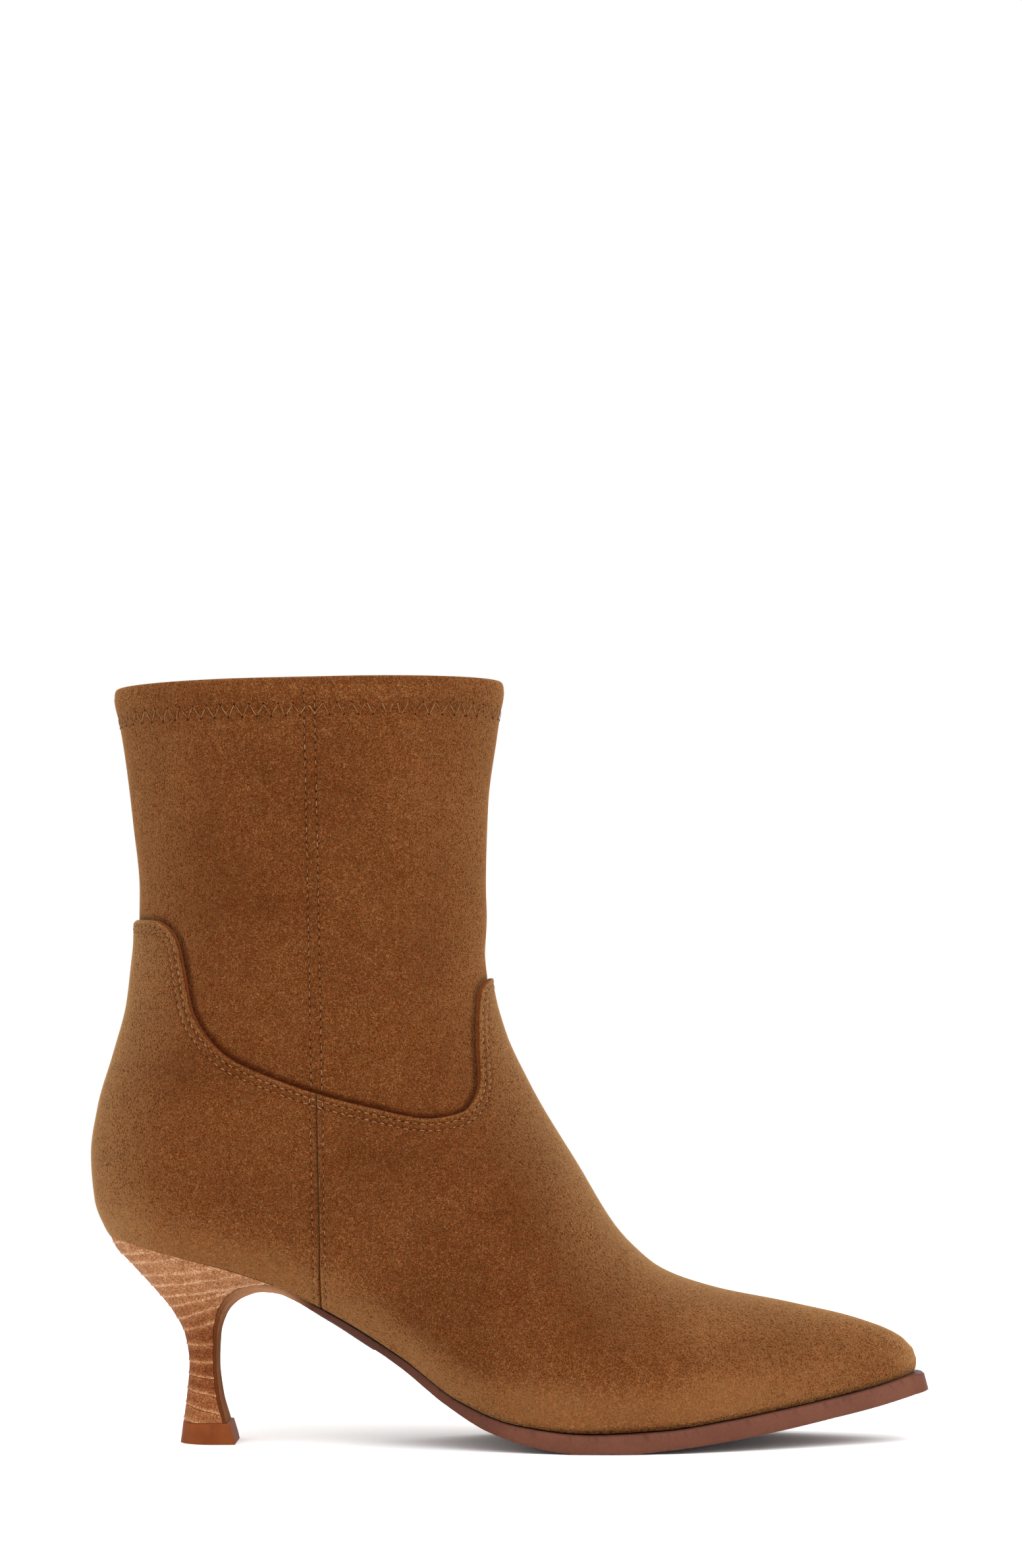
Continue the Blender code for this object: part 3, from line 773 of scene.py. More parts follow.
def from_seam(line):
    """A back-to-front line cut at the side seam: the part to the back and the part to the front."""
    past = line[:, 0] - seam_x(line[:, 1])
    i = int(np.argmax(past > 0))
    t = past[i - 1] / (past[i - 1] - past[i])
    crossing = (line[i - 1] + (line[i] - line[i - 1]) * t)[None]
    return np.concatenate([crossing, line[i - 1::-1]]), np.concatenate([crossing, line[i:]])


print("the seam stands at x", seam_x([60.0, 140.0, 220.0]).round(1).tolist())

# %% [markdown]
# A row is then laid on the wall. Its points are spread by distance along the wall and not in side view, which keeps
# stitches even where the wall turns away. The outer and the inner side are joined into one ring.

# %% Rows on the wall
START = np.array([0.0])


def spread(line, near, count):
    """Places on a side view line at distances along the wall: the near ones in mm, then even to the end."""
    points, _ = wall(line[:, 0], line[:, 1], OUTER)
    length = run_length(points)
    at = np.concatenate([near, np.linspace(near[-1], length[-1], count + 1)[1:]])
    return read_off(at, length, line), at


def evenly(line, count):
    """Places on a side view line at even steps along the wall."""
    return spread(line, START, count)[0]


def back_again(closed):
    """Which places of the outer side the inner side repeats on its way back."""
    return slice(-2, 0 if closed else None, -1)


def both_sides(side, closed):
    """Points and outward directions on the outer side, then on the inner side back again."""
    outer, outer_out = wall(side[..., 0], side[..., 1], OUTER)
    inner, inner_out = wall(side[..., 0], side[..., 1], INNER)
    ends = [0, -1] if closed else [-1]
    for k in ends:
        for points in (outer, inner):
            points[:, k, 1] = wall_middle(side[:, k, 0], side[:, k, 1])
        for out in (outer_out, inner_out):
            out[:, k, 1] = 0.0
    back = back_again(closed)
    points = np.concatenate([outer, inner[:, back]], axis=1)
    return points, unit(np.concatenate([outer_out, inner_out[:, back]], axis=1))


def mirrored(values, closed):
    """Numbers for the outer side, then for the inner side back again."""
    return np.concatenate([values, values[back_again(closed)]])


print("the collar measures", round(run_length(both_sides(level(0.0)[None], True)[0][0])[-1]), "mm around")

# %% [markdown]
# Soft leather never stands quite true. A few shallow troughs and swells are placed where this boot
# would give: at the ankle, over the break of the vamp and beside the heel. Each is a short line with a depth and
# a width, so it can be moved like a fold between the fingers.

# %% Soft folds
Fold = namedtuple("Fold", "place x0 z0 x1 z1 depth width")
FOLDS = [
    Fold("ankle front", 88.0, 136.0, 118.0, 146.0, -0.45, 5.0),
    Fold("ankle swell", 86.0, 150.0, 117.0, 158.0, 0.35, 6.0),
    Fold("ankle back", 16.0, 150.0, 44.0, 144.0, -0.35, 5.5),
    Fold("shaft side", 44.0, 182.0, 50.0, 212.0, -0.35, 7.0),
    Fold("shaft front", 96.0, 176.0, 92.0, 210.0, 0.35, 8.0),
    Fold("break", 150.0, 46.0, 168.0, 30.0, -0.35, 6.0),
    Fold("break swell", 162.0, 48.0, 182.0, 26.0, 0.3, 6.0),
    Fold("heel side", 20.0, 78.0, 48.0, 66.0, -0.3, 6.0),
]


def folds(x, z):
    """How far the soft folds move the wall out, in mm."""
    total = np.zeros(np.shape(x))
    for f in FOLDS:
        dx, dz = f.x1 - f.x0, f.z1 - f.z0
        t = np.clip(((x - f.x0) * dx + (z - f.z0) * dz) / (dx * dx + dz * dz), 0, 1)
        total += f.depth * bell(np.hypot(x - f.x0 - t * dx, z - f.z0 - t * dz), f.width)
    return total


print(len(FOLDS), "soft folds")

# %% [markdown]
# Suede keeps the mark of the last hand that stroked it: nap that lies away from the light looks dark, nap that
# stands up to it looks pale. Some patches are such nap; the pale toe nose, toe cap and low vamp are painted light,
# and the dark instep is painted shade. The patches are named after their places, and each is a soft oval with a
# tone.

# %% Nap patches and painted light
Brush = namedtuple("Brush", "place x z long high tone")
NAP_AND_LIGHT_PATCHES = [
    Brush("hem front", 84.0, 222.0, 24.0, 12.0, 0.07),
    Brush("shaft front", 96.0, 190.0, 14.0, 22.0, 0.05),
    Brush("shaft middle", 46.0, 160.0, 22.0, 9.0, -0.05),
    Brush("counter top", 34.0, 112.0, 16.0, 9.0, -0.07),
    Brush("counter side", 26.0, 84.0, 16.0, 10.0, 0.05),
    Brush("instep", 132.0, 86.0, 12.0, 22.0, -0.07),
    Brush("vamp side", 96.0, 84.0, 18.0, 10.0, -0.04),
    Brush("waist", 82.0, 58.0, 14.0, 12.0, 0.06),
    Brush("vamp low", 140.0, 20.0, 18.0, 10.0, 0.08),
    Brush("break", 150.0, 38.0, 10.0, 16.0, -0.06),
    Brush("toe back", 182.0, 36.0, 12.0, 8.0, 0.06),
    Brush("toe dark", 206.0, 27.0, 12.0, 6.0, -0.05),
    Brush("toe cap", 224.0, 38.0, 16.0, 8.0, 0.09),
    Brush("toe nose", 248.0, 25.0, 5.0, 7.0, 0.18),
]


def nap_and_light_tone(x, z):
    """Tone of the patches: nap that lies another way, and painted light and painted shade."""
    total = np.zeros(np.shape(x))
    for b in NAP_AND_LIGHT_PATCHES:
        total += b.tone * bell(np.hypot((x - b.x) / b.long, (z - b.z) / b.high), 1.0)
    return total


print(len(NAP_AND_LIGHT_PATCHES), "brushed patches")

# %% [markdown]
# Cutting and sewing leave marks beside a line: a groove at a seam, a dent under a row of stitches, a dark cut.
# Each mark is listed with the line that it follows, its distance from that line, its size and its width. One list
# moves the surface in mm and another shifts the tone, mostly as painted shade in those grooves and dents, so form
# and colour stay together.

# %% Marks beside a line
Mark = namedtuple("Mark", "place line at size width")


def marks(table, **away):
    """The marks of a table summed up, from the distances to the lines that they follow."""
    return sum(mark.size * bell(away[mark.line] - mark.at, mark.width) for mark in table)


dent = [Mark("dent", "seam", 0.0, -0.2, 0.5)]
print("a dent at 0, 0.5 and 1 mm", marks(dent, seam=np.array([0.0, 0.5, 1.0])).round(3).tolist())

# %% [markdown]
# The vamp and the counter will lie over the shaft, with a top edge cut in scallops and a tab at the back and at
# the front. Their rows follow that edge at set distances down the wall, so the edge is worked out first: the shaft
# is darker right beside it, where no light gets in under the cut.

# %% Rows along the scalloped edge
EDGE_ROWS = [
    0, 0.12, 0.3, 0.55, 0.9, 1.25, 1.55, 1.8, 2.05,
    2.4, 2.75, 3.1, 3.45, 3.7, 3.95, 4.3, 4.8, 5.6,
]
STITCH_ROWS = (1.8, 3.7)
EDGE_POINTS = 460
SCALLOP_POINTS = 800
EASE_PASSES = 40
MARCH_STEP = 0.3


def scalloped_edge():
    """The scallops in side view, from the back tab to the front tab, with the corners eased."""
    line = Line(SCALLOP).point(np.linspace(0, 1, SCALLOP_POINTS))
    for _ in range(EASE_PASSES):
        line[1:-1] = (line[:-2] + 2 * line[1:-1] + line[2:]) / 4
    return evenly(line, EDGE_POINTS)


def held_inside(line):
    """Pulls places that slipped past the back or the front line onto it."""
    for edge in (BACK_LINE, FRONT_LINE):
        far, _, inward = edge.near(line[:, 0], line[:, 1])
        line = line - np.minimum(far, 0.0)[:, None] * inward
    line[0, 0] = BACK_LINE.x_at(line[0, 1])
    line[-1, 0] = FRONT_LINE.x_at(line[-1, 1])
    return line


def one_step_in(line, step):
    """The line a small step further down the panels, square to the edge along the wall."""
    points, out = wall(line[:, 0], line[:, 1], OUTER)
    ahead = unit(np.gradient(points, axis=0))
    ahead[0] = (0.0, -1.0, 0.0)
    ahead[-1] = (0.0, 1.0, 0.0)
    moved = points + np.cross(ahead, out) * step
    return evenly(held_inside(moved[:, [0, 2]]), EDGE_POINTS)


edge_lines = [scalloped_edge()]
for here, there in zip(EDGE_ROWS, EDGE_ROWS[1:]):
    line = edge_lines[-1]
    small = max(1, math.ceil((there - here) / MARCH_STEP))
    for _ in range(small):
        line = one_step_in(line, (there - here) / small)
    edge_lines.append(line)
print("edge rows", len(edge_lines), "of", EDGE_POINTS + 1, "points")

# %% [markdown]
# The shaft is a stretch suede tube with a seam on each side and a hem at the collar. On the real boot the hem is
# turned in and held by a zigzag, so the edge is a soft fold and not a cut. The tube is a torus whose small circle
# runs up the outside, over the fold and down the lining. Its rows crowd where seams and hem are pressed.

# %% Shaft
SHAFT_LOW = 135.0
HEM_DEPTH = 10.0
HEM_WALL = 2.6
HEM_STEP = 0.8
FOLD_HIGH = 3.0
FOLD_LOW = 1.5
FOLD_ROWS = 6
OUTER_STEP = 1.7
HEM_ROWS_FROM = 12.5
HEM_ROWS = [12, 11.2, 10.4, 9.4, 8.4, 7.4, 6.2, 5, 4, 3]
LINING_FROM = 16.0
LINING_LEVELS = 24
SEAM_ROW = 1.55
ZIGZAG_DEPTH = 9.4
HEM_RELIEF = [
    Mark("doubled hem", "collar", 5.0, 0.25, 3.4),
    Mark("pull of the zigzag", "collar", ZIGZAG_DEPTH, -0.28, 1.5),
]
SHAFT_RELIEF = [
    Mark("seam allowance", "seam", 0.0, 0.22, 2.4),
    Mark("seam", "seam", 0.0, -0.08, 0.4),
    Mark("front row", "seam", SEAM_ROW, -0.16, 0.45),
    *HEM_RELIEF,
]
# Painted shade: darker in the seam's groove, along the front row's dent and in the zigzag's pull.
SHAFT_PAINTED_SHADE = [
    Mark("seam", "seam", 0.0, -0.03, 0.4),
    Mark("front row", "seam", SEAM_ROW, -0.07, 0.5),
    Mark("zigzag", "collar", ZIGZAG_DEPTH, -0.06, 2.0),
]
SHAFT_NEAR = np.array([0.0, 0.15, 0.3, 0.5, 0.8, 1.1, 1.4, 1.7, 2.1, 2.6, 3.3, 4.2])
SHAFT_BACK = 42
SHAFT_FRONT = 44
FAR_AWAY = 99.0

up = np.linspace(0, math.pi / 2, FOLD_ROWS)[1:]
over = up[-2::-1]
outer_depth = np.concatenate([np.arange(SHAFT_LOW, HEM_ROWS_FROM, -OUTER_STEP), HEM_ROWS])
fold_depth = np.concatenate([FOLD_HIGH * (1 - np.sin(up)), FOLD_LOW * (1 - np.sin(over)), [FOLD_LOW]])
fold_inset = HEM_WALL / 2 * np.concatenate([1 - np.cos(up), 1 + np.cos(over), [2.0]])
hem_inside = [4.0, 7.0, HEM_DEPTH, HEM_DEPTH + HEM_STEP]
inner_depth = np.concatenate([hem_inside, np.linspace(LINING_FROM, SHAFT_LOW, LINING_LEVELS)])
inner_inset = np.where(inner_depth <= HEM_DEPTH, HEM_WALL, WALL)
depth = np.concatenate([outer_depth, fold_depth, inner_depth])
inset = np.concatenate([np.zeros(len(outer_depth)), fold_inset, inner_inset])

side = []
for d in depth:
    to_back, to_front = from_seam(level(d))
    back, back_at = spread(to_back, SHAFT_NEAR, SHAFT_BACK)
    front, front_at = spread(to_front, SHAFT_NEAR, SHAFT_FRONT)
    side.append(np.concatenate([back[::-1], front[1:]]))
points, out = both_sides(np.array(side), True)
seam_away = mirrored(np.concatenate([back_at[::-1], front_at[1:]]), True)[None, :]
lines_away = {"seam": seam_away, "collar": depth[:, None]}
x, z = points[..., 0], points[..., 2]
outside = (np.arange(len(depth)) < len(outer_depth))[:, None]
high = np.where(outside, marks(SHAFT_RELIEF, **lines_away) + folds(x, z), 0.0) - inset[:, None]
shaft, row, col = torus_wall("shaft", points + out * high[..., None])

shade = marks(SHAFT_PAINTED_SHADE, **lines_away) + nap_and_light_tone(x, z)
note(shaft, "shade", np.where(outside, shade, 0.0)[row, col])
cut = both_sides(edge_lines[0][None], True)[0][0]
from_cut = [np.linalg.norm(cut[None] - line[:, None], axis=-1).min(axis=1) for line in points]
note(shaft, "from_cut", np.where(outside, from_cut, FAR_AWAY)[row, col])
shaft.data.materials.append(shaft_suede)
shaft.data.materials.append(lining_leather)
first_lining = len(depth) - LINING_LEVELS
for face in shaft.data.polygons:
    face.material_index = int(row[list(face.vertices)].min() >= first_lining - 1)
settle(shaft, "shaft_suede", "upper")

# %% [markdown]
# Inside, the foot part is lined with smooth leather from the sole up to the shaft. Nobody sees it except from
# above, but an open boot with no inside looks like a mask. It is another ring-shaped wall, filled in between the
# sole's edge below and the shaft's lowest line above.

# %% Foot lining
LINING_ROWS = 22
LINING_COLUMNS = 120
LINING_GAP = 0.05


def fill(c, r, bottom, top, left, right):
    """Side-view places that fill the room between four lines."""
    r = r[:, None, None]
    c = c[None, :, None]
    ruled = (1 - r) * bottom[None] + r * top[None] + (1 - c) * left[:, None] + c * right[:, None]
    corners = (1 - r) * ((1 - c) * bottom[0] + c * bottom[-1]) + r * ((1 - c) * top[0] + c * top[-1])
    return ruled - corners


top = level(SHAFT_LOW)
bottom = feather(FOOT[0].x, FOOT[-1].x, len(top))
r = np.linspace(0, 1, LINING_ROWS)
left = BACK_LINE.part(r, bottom[0, 1], top[0, 1])
right = FRONT_LINE.part(r, bottom[-1, 1], top[-1, 1])
dense = fill(turning(len(top)), r, bottom, top, left, right)
side = np.array([evenly(line, LINING_COLUMNS) for line in dense])
points, out = both_sides(side, True)
rings = np.concatenate([points - LINING_GAP * out, (points - WALL * out)[::-1]])
foot_lining, row, col = torus_wall("foot_lining", rings)
foot_lining.data.materials.append(lining_leather)
settle(foot_lining, "insole_leather")

# %% [markdown]
# The vamp and the counter are suede panels laid over the shaft and butted together at a side seam. Below the rows
# that follow the scallops, more rows fill the room down to the feather edge, and they crowd where the panel turns
# in under the sole. The columns crowd beside the seam, because its groove is narrow.

# %% Panels
PANEL_NEAR = np.array([0.02, 0.25, 0.5, 0.8, 1.2, 1.6, 2.0, 2.4, 3.0, 3.8])
SEAM_STITCH = 2.0
SEAM_CUT = 0.3
PANEL_ROWS = 70
PANEL_CROWD = 1.4
PANEL_LEAST = 0.3
DENSE = 420
LOW_ROWS = np.array([0.0, 0.3, 0.7, 1.2, 2.0, 3.2]) / 62.0
VAMP_COLUMNS = 92
COUNTER_COLUMNS = 72


def panel_side(forward, columns):
    """Side-view rows of a panel, from the feather edge up to the cut edge, each from the seam outwards."""
    halves = [from_seam(line)[int(forward)] for line in edge_lines]
    top = evenly(halves[-1], DENSE)
    end = FOOT[-1].x if forward else FOOT[0].x
    bottom = evenly(feather(SEAM_FOOT_X, end, FEATHER_POINTS), DENSE)
    climb = np.linspace(0, 1, PANEL_ROWS)[1:] ** PANEL_CROWD
    r = np.concatenate([LOW_ROWS, LOW_ROWS[-1] + (1 - LOW_ROWS[-1]) * climb])
    seam = bottom[0] + (top[0] - bottom[0]) * r[:, None]
    edge = FRONT_LINE if forward else BACK_LINE
    far = edge.part(r, bottom[-1, 1], top[-1, 1])
    dense = fill(np.linspace(0, 1, DENSE + 1), r, bottom, top, seam, far)
    return np.array([spread(line, PANEL_NEAR, columns)[0] for line in [*dense[:-1], *halves[::-1]]])


vamp_side = panel_side(True, VAMP_COLUMNS)
counter_side = panel_side(False, COUNTER_COLUMNS)
print("a panel has", len(vamp_side), "rows of", vamp_side.shape[1], "or", counter_side.shape[1], "points a side")

# %% [markdown]
# The cut edge is bevelled a little, more at the back tab, where handling has rounded it. At the feather edge the
# panel is tucked in under the sole and darkened there as painted shade, and just above it a band of painted light
# from the floor makes it pale. The seam is a groove between two cut edges, so the narrow strip beside it takes the
# finish of a cut, darkened as painted shade.

# %% Vamp and counter
BEVEL_DROP = 0.3
BEVEL_REACH = 0.7
TAB_EXTRA = 0.8
TAB_RUN = (15.0, 25.0)
TUCK = 0.2
TUCK_FRONT = 0.45
TUCK_RUN = (54.0, 70.0)
TUCK_WIDTH = 0.8
TUCK_SHADE = 1.0
UPRIGHT_RUN = (-1.0, 4.0)
BOUNCE_LIGHT_BAND = (4.0, 26.0)
BOUNCE_LIGHT_TONE = 0.2
BOUNCE_LIGHT_LOSS = 0.65
BOUNCE_LIGHT_LOSS_RUN = (185.0, 240.0)
INSIDE_TONE = -0.3
PANEL_RELIEF = [
    Mark("upper row", "edge", STITCH_ROWS[0], -0.2, 0.42),
    Mark("lower row", "edge", STITCH_ROWS[1], -0.2, 0.42),
    Mark("between the rows", "edge", sum(STITCH_ROWS) / 2, 0.08, 0.6),
    Mark("seam", "seam", 0.0, -0.7, 0.42),
    Mark("row beside the seam", "seam", SEAM_STITCH, -0.16, 0.45),
]
# The dark cut is the cut's own colour and the band by it is a paler tone; the darkening along the rows and in the
# seam is painted shade in their dents and groove.
PANEL_TONES_AND_PAINTED_SHADE = [
    Mark("cut", "edge", 0.0, -0.3, 0.2),
    Mark("rubbed edge", "edge", 0.6, 0.1, 0.5),
    Mark("upper row", "edge", STITCH_ROWS[0], -0.08, 0.5),
    Mark("lower row", "edge", STITCH_ROWS[1], -0.08, 0.5),
    Mark("seam", "seam", 0.0, -0.42, 0.42),
    Mark("row beside the seam", "seam", SEAM_STITCH, -0.08, 0.5),
]


def suede_panel(name, side):
    """A panel with its marks and tones. Gives back its outer face, for the sewing to lie on."""
    points, out = both_sides(side, False)
    x, z = points[..., 0], points[..., 2]
    climbed = np.cumsum(np.linalg.norm(np.diff(points, axis=0, prepend=points[:1]), axis=-1), axis=0)
    out[..., 2] *= blend(climbed, *UPRIGHT_RUN)
    out = unit(out)
    edge = np.concatenate([np.full(len(side) - len(EDGE_ROWS), FAR_AWAY), EDGE_ROWS[::-1]])[:, None]
    beyond = np.full(side.shape[1] - len(PANEL_NEAR), FAR_AWAY)
    seam = mirrored(np.concatenate([PANEL_NEAR, beyond]), False)[None, :]
    tab = TAB_EXTRA * (1 - blend(x, *TAB_RUN))
    bevel = (BEVEL_DROP + tab) * np.clip(1 - edge / (BEVEL_REACH + tab), 0, 1) ** 2
    tuck = TUCK_FRONT * blend(x, *TUCK_RUN)
    high = PANEL_TOP - bevel - (TUCK + tuck) * bell(climbed, TUCK_WIDTH)
    high = high + marks(PANEL_RELIEF, edge=edge, seam=seam) + folds(x, z)
    outside = points + out * high[..., None]
    inside = points + out * np.minimum(GAP, high - PANEL_LEAST)[..., None]
    made, row, col, deep = panel(name, outside, inside)

    # Painted light from the floor in a band above the feather edge, weaker at the toe, and painted shade on the tuck.
    pale = (1 - blend(climbed, *BOUNCE_LIGHT_BAND)) * (1 - BOUNCE_LIGHT_LOSS * blend(x, *BOUNCE_LIGHT_LOSS_RUN))
    shade = marks(PANEL_TONES_AND_PAINTED_SHADE, edge=edge, seam=seam) + nap_and_light_tone(x, z)
    shade = shade + BOUNCE_LIGHT_TONE * pale - tuck * bell(climbed, TUCK_SHADE)
    note(made, "shade", np.where(deep, INSIDE_TONE, shade[row, col]))
    for material in (panel_suede, cut_edge, seam_edge_in_shade):
        made.data.materials.append(material)
    in_seam = seam[0, col] < SEAM_CUT
    for face in made.data.polygons:
        corners = list(face.vertices)
        rim = deep[corners].any() and not deep[corners].all()
        face.material_index = 2 if in_seam[corners].all() else int(rim)
    settle(made, "panel_suede", name)
    return outside, out


vamp_face = suede_panel("vamp", vamp_side)
counter_face = suede_panel("counter", counter_side)

# %% [markdown]
# The sewing is thin tan thread. One stitch is a ball drawn out to a short bar and bent so that both ends dive
# into the suede, and a pinched dark dot of painted shade stands for the needle hole. Only one of each is shaped,
# and its points are copied.

# %% One stitch and one needle hole
THREAD = 0.24
STITCH_HALF = 0.86
STITCH_PROUD = 0.10
STITCH_DIVE = 0.32
HOLE_SIZE = (0.28, 0.2, 0.1)


def small_ball(name, segments, rings, size):
    """A ball drawn out to the half-lengths given in mm, as points and faces to copy."""
    bpy.ops.object.select_all(action="DESELECT")
    bpy.ops.mesh.primitive_uv_sphere_add(segments=segments, ring_count=rings, radius=1.0)
    obj = fresh(name)
    bpy.ops.object.mode_set(mode="EDIT")
    bpy.ops.mesh.select_all(action="SELECT")
    bpy.ops.transform.rotate(value=math.radians(90), orient_axis="Y", center_override=(0, 0, 0))
    bpy.ops.transform.resize(value=size)
    bpy.ops.object.mode_set(mode="OBJECT")
    co = points_of(obj)
    faces = [tuple(face.vertices) for face in obj.data.polygons]
    bpy.data.objects.remove(obj, do_unlink=True)
    return co, faces


stitch_co, stitch_faces = small_ball("stitch", 6, 7, (STITCH_HALF, THREAD / 2, THREAD / 2))
stitch_co[:, 2] += STITCH_PROUD - STITCH_DIVE * (stitch_co[:, 0] / STITCH_HALF) ** 2
hole_co, hole_faces = small_ball("needle hole", 6, 4, HOLE_SIZE)
print("stitch", len(stitch_faces), "faces, hole", len(hole_faces), "faces")

# %% [markdown]
# To sew a row, the one stitch is laid down again and again along a line on the suede. Each copy is turned so that
# its length follows the line and its top points out of the leather.

# %% Copies along a line


def along(path, out, at):
    """Places, directions and outward directions at distances along a line in space."""
    length = run_length(path)
    ahead = np.gradient(path, length, axis=0)
    return read_off(at, length, path), unit(read_off(at, length, ahead)), unit(read_off(at, length, out))


def copies(co, found, ahead, away, stretch=None):
    """One set of points laid at many places, drawn out along its own length where asked."""
    across = unit(np.cross(away, ahead))
    away = np.cross(ahead, across)
    lengths = np.ones(len(found)) if stretch is None else stretch
    laid = found[:, None] + co[None, :, :1] * ahead[:, None] * lengths[:, None, None]
    return laid + co[None, :, 1:2] * across[:, None] + co[None, :, 2:] * away[:, None]


straight = np.array([[0.0, 0.0, 0.0], [9.0, 0.0, 0.0]])
print("the middle of a straight line", along(straight, straight + 1.0, np.array([4.5]))[0].tolist())

# %% [markdown]
# A row of sewing is a line on the panels with stitches at an even pitch, counted in the photograph. No machine sews
# quite true in soft suede, so each stitch slips a little aside, deeper or askew. The slips come from one seeded
# hand, and all stitches are joined into one mesh and all holes into another.

# %% Rows of sewing
PITCH = 2.4
SLIP_ASIDE = 0.05
SLIP_DEEP = 0.035
SLIP_ASKEW = 0.09
SLIP_LENGTH = 0.05
SLIP_TONE = 0.15
SUNK_DEPTH = 0.1
LEG_THIN = 0.85
LEG_SUNK = 0.3
LEG_HOLE = 1.4


class Sewing:
    """Gathers rows of stitches and holes and joins each kind into one mesh."""

    def __init__(self):
        self.threads = []
        self.holes = []
        self.sunk = []
        self.hand = np.random.default_rng(11)

    def uneven(self, found, ahead, away):
        """Small slips of a sewn row: each stitch a little aside, deeper or askew."""
        aside = np.cross(away, ahead)
        slip = self.hand.normal(0.0, 1.0, (3, len(found), 1))
        found = found + aside * slip[0] * SLIP_ASIDE + away * slip[1] * SLIP_DEEP
        return found, unit(ahead + aside * slip[2] * SLIP_ASKEW), away

    def tone(self, sunk, count):
        """How deep each stitch looks, from 0 to 1; the thread is painted darker the deeper it lies, as painted shade.
        """
        self.sunk.append(np.clip(sunk + self.hand.normal(0.0, SLIP_TONE, count), 0, 1))

    def row(self, path, out, sunk=0.0):
        """One row of stitches; a sunk row lies deeper in the nap and its thread is painted darker, as painted shade.
        """
        total = run_length(path)[-1]
        count = max(1, round(total / PITCH))
        step = total / count
        at = (np.arange(count) + 0.5) * step
        found, ahead, away = self.uneven(*along(path, out, at))
        lengths = step / PITCH * (1 + self.hand.normal(0.0, SLIP_LENGTH, count))
        self.threads.append(copies(stitch_co, found - away * SUNK_DEPTH * sunk, ahead, away, lengths))
        self.tone(sunk, count)
        self.holes.append(copies(hole_co, *along(path, out, np.arange(count) * step)))

    def leg(self, start, end, out):
        """Straight legs from start points to end points, as a zigzag has."""
        ahead = unit(end - start)
        lengths = np.linalg.norm(end - start, axis=1) / (2 * STITCH_HALF)
        middle, ahead, out = self.uneven((start + end) / 2, ahead, out)
        self.threads.append(copies(stitch_co * (1, LEG_THIN, LEG_THIN), middle, ahead, out, lengths))
        self.tone(LEG_SUNK, len(start))
        self.holes.append(copies(hole_co * LEG_HOLE, start, ahead, out))

    def joined(self, name, parts, faces):
        """All copies of one kind as one mesh."""
        laid = np.concatenate(parts)
        count = laid.shape[1]
        mesh = bpy.data.meshes.new(name)
        many = [tuple(v + k * count for v in face) for k in range(len(laid)) for face in faces]
        mesh.from_pydata(np.zeros((laid.shape[0] * count, 3)), [], many)
        obj = bpy.data.objects.new(name, mesh)
        bpy.context.scene.collection.objects.link(obj)
        return place(obj, laid.reshape(-1, 3))


sewing = Sewing()
print("stitches at a pitch of", PITCH, "mm")

# %% [markdown]
# Two rows follow the scallops on both panels, and one row runs down each side of the seam between them. The seam's
# rows are sunk deeper, because the leather is pulled together there. The rows lie on columns and rows of the panels'
# own points, so they keep their distance from the edge everywhere.

# %% Sewing on the panels
SEAM_SUNK = 0.3
SEAM_SEWN_FROM = 0.9
SEAM_SEWN_ROW = 2

for stitched in STITCH_ROWS:
    row_at = -1 - EDGE_ROWS.index(stitched)
    for face, away in (vamp_face, counter_face):
        sewing.row(face[row_at], away[row_at])
seam_column = int(np.where(PANEL_NEAR == SEAM_STITCH)[0][0])
rows_below = slice(SEAM_SEWN_ROW, -1 - EDGE_ROWS.index(SEAM_SEWN_FROM))
for face, away in (vamp_face, counter_face):
    for k in (seam_column, -1 - seam_column):
        sewing.row(face[rows_below, k], away[rows_below, k], SEAM_SUNK)
print(len(sewing.threads), "rows on the panels")

# %% [markdown]
# The shaft's own seam is pressed open and sewn down on both sides, up through the hem. The zigzag that holds
# the hem is a stretch stitch: straight legs that meet at needle holes, so that the collar can give.

# %% Shaft sewing
ZIGZAG_PITCH = 4.3
ZIGZAG_HALF = 1.85
ZIGZAG_PROUD = 0.02
ZIGZAG_POINTS = 300
SEWN_TOP = 2.6
SEWN_COLLAR = 226.8
SEWN_PROUD = 0.08
SEWN_FOOT = 0.8
SEWN_SLANT = 0.33
SEWN_POINTS = 160


def shaft_row(offset, side_sign):
    """A line up the shaft beside its side seam, on top of the hem's swell."""
    low = SEAM_TOP[1] - SEWN_SLANT * offset + SEWN_FOOT
    z = np.linspace(low, SEWN_COLLAR - SEWN_TOP, SEWN_POINTS)
    points, out = wall(seam_x(z) + offset, z, side_sign)
    return points + out * (SEWN_PROUD + marks(HEM_RELIEF, collar=SEWN_COLLAR - z))[:, None], out


def zigzag_line(depth_mm):
    """A closed line around the hem."""
    points, out = both_sides(evenly(level(depth_mm), ZIGZAG_POINTS)[None], True)
    points = np.concatenate([points[0], points[0][:1]])
    out = np.concatenate([out[0], out[0][:1]])
    return points + ZIGZAG_PROUD * out, out


